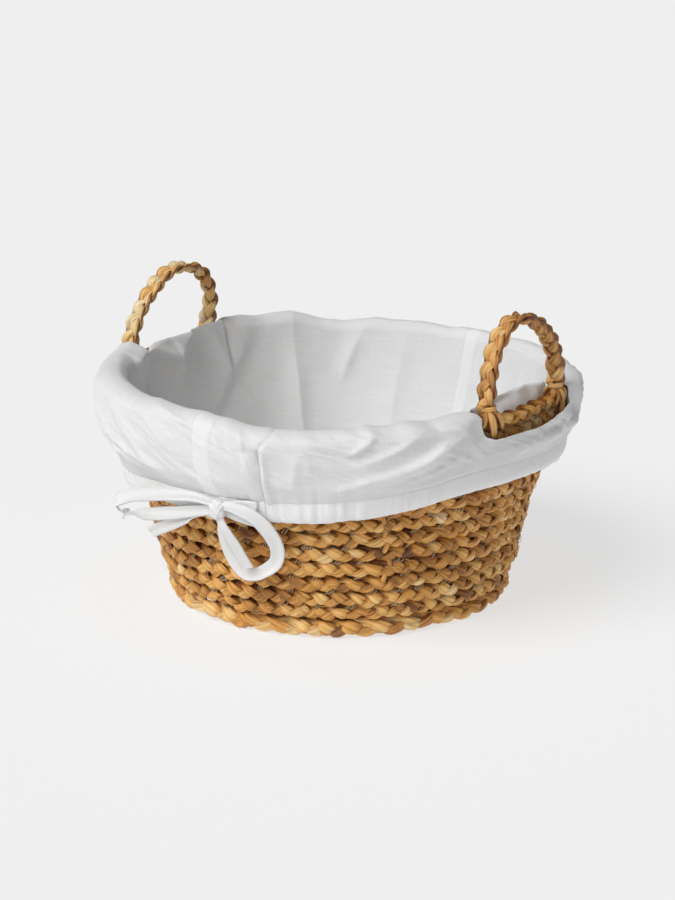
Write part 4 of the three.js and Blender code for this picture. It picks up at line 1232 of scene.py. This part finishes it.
    # beside the left handle's front root the roll's inner shoulder is pulled up
    lip = np.where(pm >= LEFT_CLOTH_END - 1e-6, np.exp(-(((pm - LEFT_CLOTH_END) / 3.5) ** 2)), 0.0)
    rise = np.where(group == 0, smooth((Z[:, 0] - 170) / 33), 0.0)
    rise[n_wall : n_wall + n_roll] = (1 - np.linspace(0, 1, n_roll)) ** 1.3
    Z2 = Z2 + 6.5 * rise[:, None] * lip[None, :]
    roll_ripple = 1.0 * twisted_noise(PSI, 0 * Z + 210, 24, 1, 0, 2.2) + 0.5 * twisted_noise(PSI, 0 * Z + 210, 11, 1, 0, 5.2)
    h_roll = roll_ripple
    rf = np.linspace(0, 1, n_roll)
    mixw = np.zeros_like(Z)
    mixw[n_wall : n_wall + n_roll] = smooth(rf)[:, None]
    mixw[n_wall + n_roll :] = 1.0
    disp = h_in * (1 - mixw) + h_out * mixw
    bell = np.zeros_like(Z)
    bell[n_wall : n_wall + n_roll] = np.sin(np.pi * rf)[:, None]
    disp = disp + h_roll * bell * 0.5
    # the front seam's doubled band stands a little proud
    q = unwrap(PSI)
    c = 5.5 - 1.3 * np.sin(np.clip((206 - Z) / 70, 0, 1) * math.pi) * 0.8
    band = smooth((2.25 - np.abs(q - c)) / 0.25)
    back_band = smooth((2.0 - np.abs(unwrap(PSI - BACK_SEAM))) / 0.25)
    doubling_and_painted_light = np.maximum(band * (mixw > 0.2), back_band)
    # painted shade: the inner bag's left side, between -136 and -48 degrees, gets a negative value that the cloth
    # paints darker, greyer and warmer
    doubling_and_painted_light = doubling_and_painted_light - 0.25 * (1 - mixw) * smooth((q + 136) / 6) * smooth((-48 - q) / 20)
    disp = disp + 0.8 * band * mixw - 0.5 * band * (1 - mixw) - 0.5 * back_band * (1 - mixw) + 0.6 * back_band * mixw

    # ---- the slit where the drawstring comes out: two panel edges, the right one curled over
    q = PSI - CASING_SLIT
    d_right = q * math.pi / 180 * 225            # mm right of the slit
    d_left = (360 - q) * math.pi / 180 * 225     # mm left of it
    open_w = smooth((196 - Z) / 14) * cuff
    disp = disp + open_w * (2.6 * np.exp(-((d_right - 3.2) / 3.6) ** 2) - 1.0 * np.exp(-((d_right / 1.4) ** 2)))
    disp = disp + open_w * (1.4 * np.exp(-(((d_left - 9.0) / 4.0) ** 2)) - 2.5 * np.exp(-((d_left / 4.0) ** 2)))
    gape = smooth((196 - Z) / 22) * (0.35 + 0.65 * np.sin(np.clip((Z - top[None, :]) / (196 - top[None, :]), 0, 1) * math.pi)) * cuff
    shift = np.degrees(gape * (1.2 * np.exp(-((d_right / 7) ** 2)) + 3.1 * np.exp(-((d_left / 6) ** 2))) / 225.0)
    # above the cut the right panel is lapped over the left one
    lap_at = np.interp(Z, [178, 185, 196, 204, 212], [19.3, 19.35, 19.6, 20.6, 22.6])
    lap_d = np.radians(unwrap(PSI) - lap_at) * 225
    lap = smooth((lap_d + 0.7) / 1.4) * np.exp(-np.maximum(lap_d, 0) / 24.0) - 0.45 * np.exp(-(((lap_d + 1.6) / 1.6) ** 2))
    disp = disp + 2.3 * lap * mixw * smooth((Z - 178) / 10)
    PSI2 = PSI + shift

    # ---- place the points; displacement acts across the profile
    dR = np.gradient(Rr, axis=0)
    dZ = np.gradient(Z2, axis=0)
    ln = np.maximum(np.hypot(dR, dZ), 1e-6)
    nr, nz = dZ / ln, -dR / ln
    # along the inner bag the profile runs up, so its right-hand side is outward; past the top it turns over
    nr, nz = np.where(mixw > 0, -nr, nr), np.where(mixw > 0, -nz, nz)
    nr_s = np.where(group[:, None] == 1, np.cos(math.pi * (1 - rf_pad(rf, n_wall, n_roll, len(group)))[:, None]), nr)
    nz_s = np.where(group[:, None] == 1, np.sin(math.pi * (1 - rf_pad(rf, n_wall, n_roll, len(group)))[:, None]), nz)
    # in the roll, inner side displacement points outward from the cloth's body: up and over
    first = group == 0
    R2 = Rr + np.where(first[:, None], disp, nr_s * np.where(group[:, None] == 1, lerp_disp(disp, h_in, mixw), disp))
    Z3 = Z2 + np.where(first[:, None], 0.0, nz_s * np.where(group[:, None] == 1, lerp_disp(disp, h_in, mixw), disp) * np.where(group[:, None] == 1, 1, 0.25))
    # the edge standing up behind the right handle leans in over the bag
    fold_in = np.where(r_in, smooth((pm - RIGHT_SLIT[0]) / 6) * smooth((RIGHT_SLIT[1] - pm) / 4), 0.0)
    R2 = R2 - first[:, None] * 11.0 * fold_in[None, :] * smooth((Z - 184) / 21)
    # towards a notch the roll and the cuff draw in to the rim
    hug = np.zeros(cols + 1)
    for lo, hi in (RIGHT_SLIT, LEFT_SLIT):
        hug = np.maximum(hug, 1 - smooth(np.minimum(np.abs(pm - lo), np.abs(pm - hi)) / 5.5))
    over = np.maximum(R2 - 220.6, 0)
    R2 = R2 - over * hug[None, :] * (mixw > 0.3) * smooth((Z - 184) / 14) * 0.85
    # keep the cuff clear of the basket's outer wall
    out_min = wall_outer(Z3) + 2.2
    R2 = np.where(mixw >= 1, np.maximum(R2, out_min), R2)
    P = ring_point(np.radians(PSI2), R2, 0 * R2)
    P[..., 2] = Z3
    keep = np.ones((len(group) - 1, cols), bool)
    both = in_notch[:-1] & in_notch[1:]
    keep[n_wall - 1 : n_wall + n_roll, :] &= ~both[None, :]
    arc = np.radians(PSI) * 205.0
    run = np.concatenate([[0], np.cumsum(np.hypot(np.diff(Rr[:, 0]), np.diff(Z[:, 0])))])
    V = np.broadcast_to(run[:, None], Z.shape)
    ob = cloth_sheet("liner_bag_and_cuff", P, keep, arc, V, doubling_and_painted_light, 1.0, LINEN)
    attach(ob, "liner")
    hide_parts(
        "liner_side_right", "liner_side_left", "cuff_front_right", "cuff_right_handle_flap", "cuff_back_right",
        "cuff_back_left", "cuff_left_handle_flap", "cuff_front_left",
    )
    return ob


def rf_pad(rf, n_wall, n_roll, total):
    out = np.zeros(total)
    out[n_wall : n_wall + n_roll] = rf
    out[n_wall + n_roll :] = 1
    return out


def lerp_disp(disp, h_in, mixw):
    """Over the roll, the inner bag's folds push the other way round the cloth."""
    return disp - 2 * h_in * (1 - mixw)


def build_casing():
    """The hem's drawn channel: puffed between the seam line and the lower edge, turned under."""
    cols = 1300
    psi = np.linspace(CASING_SLIT + 0.02, CASING_SLIT + 359.98, cols + 1)
    hem = hem_at(psi)
    top = hem + CASING_H + 0.6
    g = gathers(psi)
    g2 = gathers(psi * 1.0 + 0.0, 8.0)
    prof = [  # fraction of height, puff, gather weight
        (1.03, 0.2, 1.0), (1.0, 0.85, 1.0), (0.965, 1.5, 1.0), (0.93, 1.7, 1.0), (0.86, 2.1, 1.0), (0.77, 2.6, 0.95), (0.66, 3.2, 0.9), (0.54, 3.7, 0.85), (0.42, 4.0, 0.85),
        (0.30, 4.0, 0.9), (0.19, 3.5, 0.95), (0.10, 2.4, 1.0), (0.04, 0.7, 0.9), (0.0, -1.5, 0.8), (-0.012, -3.6, 0.6), (0.02, -5.4, 0.4), (0.08, -6.6, 0.25), (0.2, -7.0, 0.15), (0.36, -7.1, 0.1),
    ]
    # it lies flatter where the bow and its leads press on it
    flat = 1 - 0.6 * np.exp(-(((unwrap(psi) - 10) / 15.0) ** 2))
    P, V = [], []
    for k, (f, puff, gw) in enumerate(prof):
        z = hem + f * (top - hem)
        r = wall_outer(z) + 9.5 + np.where(puff > 1.5, 1.5 + (puff - 1.5) * flat, puff) + 1.5 * g * gw * flat + 0.5 * g2 * gw * (1 - smooth((f - 0.7) / 0.25))
        r = r + 0.9 * twisted_noise(psi, z, 38, 60, 0, 3.3)
        z = z + 0.45 * g2 * (1 - f) * (f < 0.5) + 0.7 * twisted_noise(psi, 0 * z, 30, 1, 0, 1.4) * (f < 0.9)
        r = np.maximum(r, wall_outer(z) + 1.4)
        p = ring_point(np.radians(psi), r, 0 * r)
        p[:, 2] = z
        P.append(p)
        V.append(np.full_like(psi, (1 - f) * 24))
    P, V = np.array(P), np.array(V)
    keep = np.ones((len(prof) - 1, cols), bool)
    arc = np.broadcast_to(np.radians(psi) * 205.0 * 1.15, V.shape)
    # the casing is doubled cloth, lightened for that, and its brighter linen also paints light against the shade under
    # the cuff
    ob = cloth_sheet("hem_casing_cloth", P, keep, arc, V, np.full(V.shape, 1.5), 0.9, LINEN_HEM_PAINTED_LIGHT)
    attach(ob, "liner")
    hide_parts("hem_casing")
    return ob


def build_liner_floor():
    """The bag's round bottom, lying slack on the basket's floor."""
    n_r, n_p = 60, 240
    r = np.linspace(0.8, 143.0, n_r)[:, None]
    psi = np.linspace(0, 360, n_p + 1)[None, :]
    x, y = r * np.sin(np.radians(psi)), -r * np.cos(np.radians(psi))
    z = 14.3 + 0.5 * np.abs(noise3(x / 30, y / 30, 0 * x + 2)) + 0.9 * np.maximum(0, noise3(x / 55 + 3, y / 21, 0 * x + 5)) + 0.5 * np.abs(noise3(x / 12, y / 12, 0 * x))
    z = z * 1.0 - 0.15 * (r / 143.0) ** 6
    P = np.stack([x, y, z], -1)
    keep = np.ones((n_r - 1, n_p), bool)
    ob = cloth_sheet("liner_floor_disc", P, keep, x + 0 * z, y + 0 * z, 0 * z, 1.0, LINEN)
    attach(ob, "liner")
    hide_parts("liner_floor")
    return ob


bag = build_liner()
casing = build_casing()
disc = build_liner_floor()


def build_tape_in_casing():
    """The drawstring's run inside the casing: the same flat tape, standing on edge round the hem."""
    cols = 900
    psi = np.linspace(CASING_SLIT + 0.9, CASING_SLIT + 359.1, cols + 1)
    mid = hem_at(psi) + 8.5 + 0.5 * twisted_noise(psi, 0 * psi, 30, 1, 0, 6.1)
    x = np.concatenate([np.linspace(-1, 1, 7), np.linspace(1, -1, 7)])
    y = np.concatenate([np.ones(7), -np.ones(7)]) * np.sqrt(1 - 0.8 * np.abs(x) ** 10)
    verts = []
    for q, w in zip(x, y):
        z = mid + q * 4.6
        r = wall_outer(z) + 5.6 + 0.38 * w + 0.5 * twisted_noise(psi, z, 9, 30, 0, 2.7)
        pt = ring_point(np.radians(psi), r, 0 * r)
        pt[:, 2] = z
        verts.append(pt)
    verts = np.stack(verts, 1)
    n, sides = verts.shape[:2]
    idx = np.arange(n * sides).reshape(n, sides)
    i0, i1 = idx[:-1], idx[1:]
    quads = np.stack([i0, i1, np.roll(i1, -1, 1), np.roll(i0, -1, 1)], -1).reshape(-1, 4)
    s = np.radians(psi - psi[0]) * 205.0
    uv = np.empty((n - 1, sides, 4, 2))
    wide = np.concatenate([x[:7] * 4.6, 9.6 - x[7:] * 4.6])
    uv[:, :, 0, 0] = uv[:, :, 1, 0] = wide
    uv[:, :, 2, 0] = uv[:, :, 3, 0] = np.roll(wide, -1)
    uv[:, :, 0, 1] = uv[:, :, 3, 1] = s[:-1, None]
    uv[:, :, 1, 1] = uv[:, :, 2, 1] = s[1:, None]
    ends = np.stack([verts[0].mean(0), verts[-1].mean(0)])
    tris = np.vstack([
        np.stack([np.full(sides, n * sides), idx[0], np.roll(idx[0], -1)], -1),
        np.stack([np.full(sides, n * sides + 1), np.roll(idx[-1], -1), idx[-1]], -1),
    ])
    ob = new_object(
        "casing_tape", np.vstack([verts.reshape(-1, 3), ends]), quads, tris,
        {"doubling_and_painted_light": np.full(n * sides + 2, 0.5)}, np.vstack([uv.reshape(-1, 2), np.zeros((len(tris) * 3, 2))]), TAPE,
    )
    flip_outward(ob)
    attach(ob, "liner")
    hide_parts("drawstring_run_in_casing")
    return ob


build_tape_in_casing()


# ------------------------------------------------------------------ floor and light
def build_stage():
    me = bpy.data.meshes.new("studio_floor")
    s = 30.0
    me.from_pydata([(-s, -s, 0), (s, -s, 0), (s, s, 0), (-s, s, 0)], [], [(0, 1, 2, 3)])
    ob = bpy.data.objects.new("studio_floor", me)
    bpy.context.scene.collection.objects.link(ob)
    m = Nodes("studio_floor_paper")
    m.bsdf.inputs["Base Color"].default_value = (0.26, 0.26, 0.26, 1)
    m.bsdf.inputs["Roughness"].default_value = 0.9
    m.bsdf.inputs["Specular IOR Level"].default_value = 0.1
    m.bsdf.inputs["Emission Color"].default_value = (1.0, 1.0, 1.0, 1)
    m.bsdf.inputs["Emission Strength"].default_value = 0.662
    me.materials.append(m.mat)

    world = bpy.data.worlds.new("studio")
    bpy.context.scene.world = world
    world.use_nodes = True
    bg = world.node_tree.nodes.get("Background") or world.node_tree.nodes.new("ShaderNodeBackground")
    bg.inputs[0].default_value = (1.0, 1.0, 1.0, 1)
    bg.inputs[1].default_value = 0.14
    out = world.node_tree.nodes.get("World Output") or world.node_tree.nodes.new("ShaderNodeOutputWorld")
    world.node_tree.links.new(bg.outputs[0], out.inputs[0])

    def sun(name, az, el, strength, angle):
        l = bpy.data.lights.new(name, "SUN")
        l.energy = strength
        l.angle = math.radians(angle)
        o = bpy.data.objects.new(name, l)
        a, e = math.radians(az), math.radians(el)
        direction = -Vector((math.sin(a) * math.cos(e), -math.cos(a) * math.cos(e), math.sin(e)))
        o.rotation_euler = direction.to_track_quat("-Z", "Y").to_euler()
        bpy.context.scene.collection.objects.link(o)

    sun("key", -10, 48, 2.6, 40)
    sun("fill", 62, 22, 0.16, 60)
    bpy.context.scene.view_settings.view_transform = "Standard"
    bpy.context.scene.view_settings.look = "None"


build_stage()
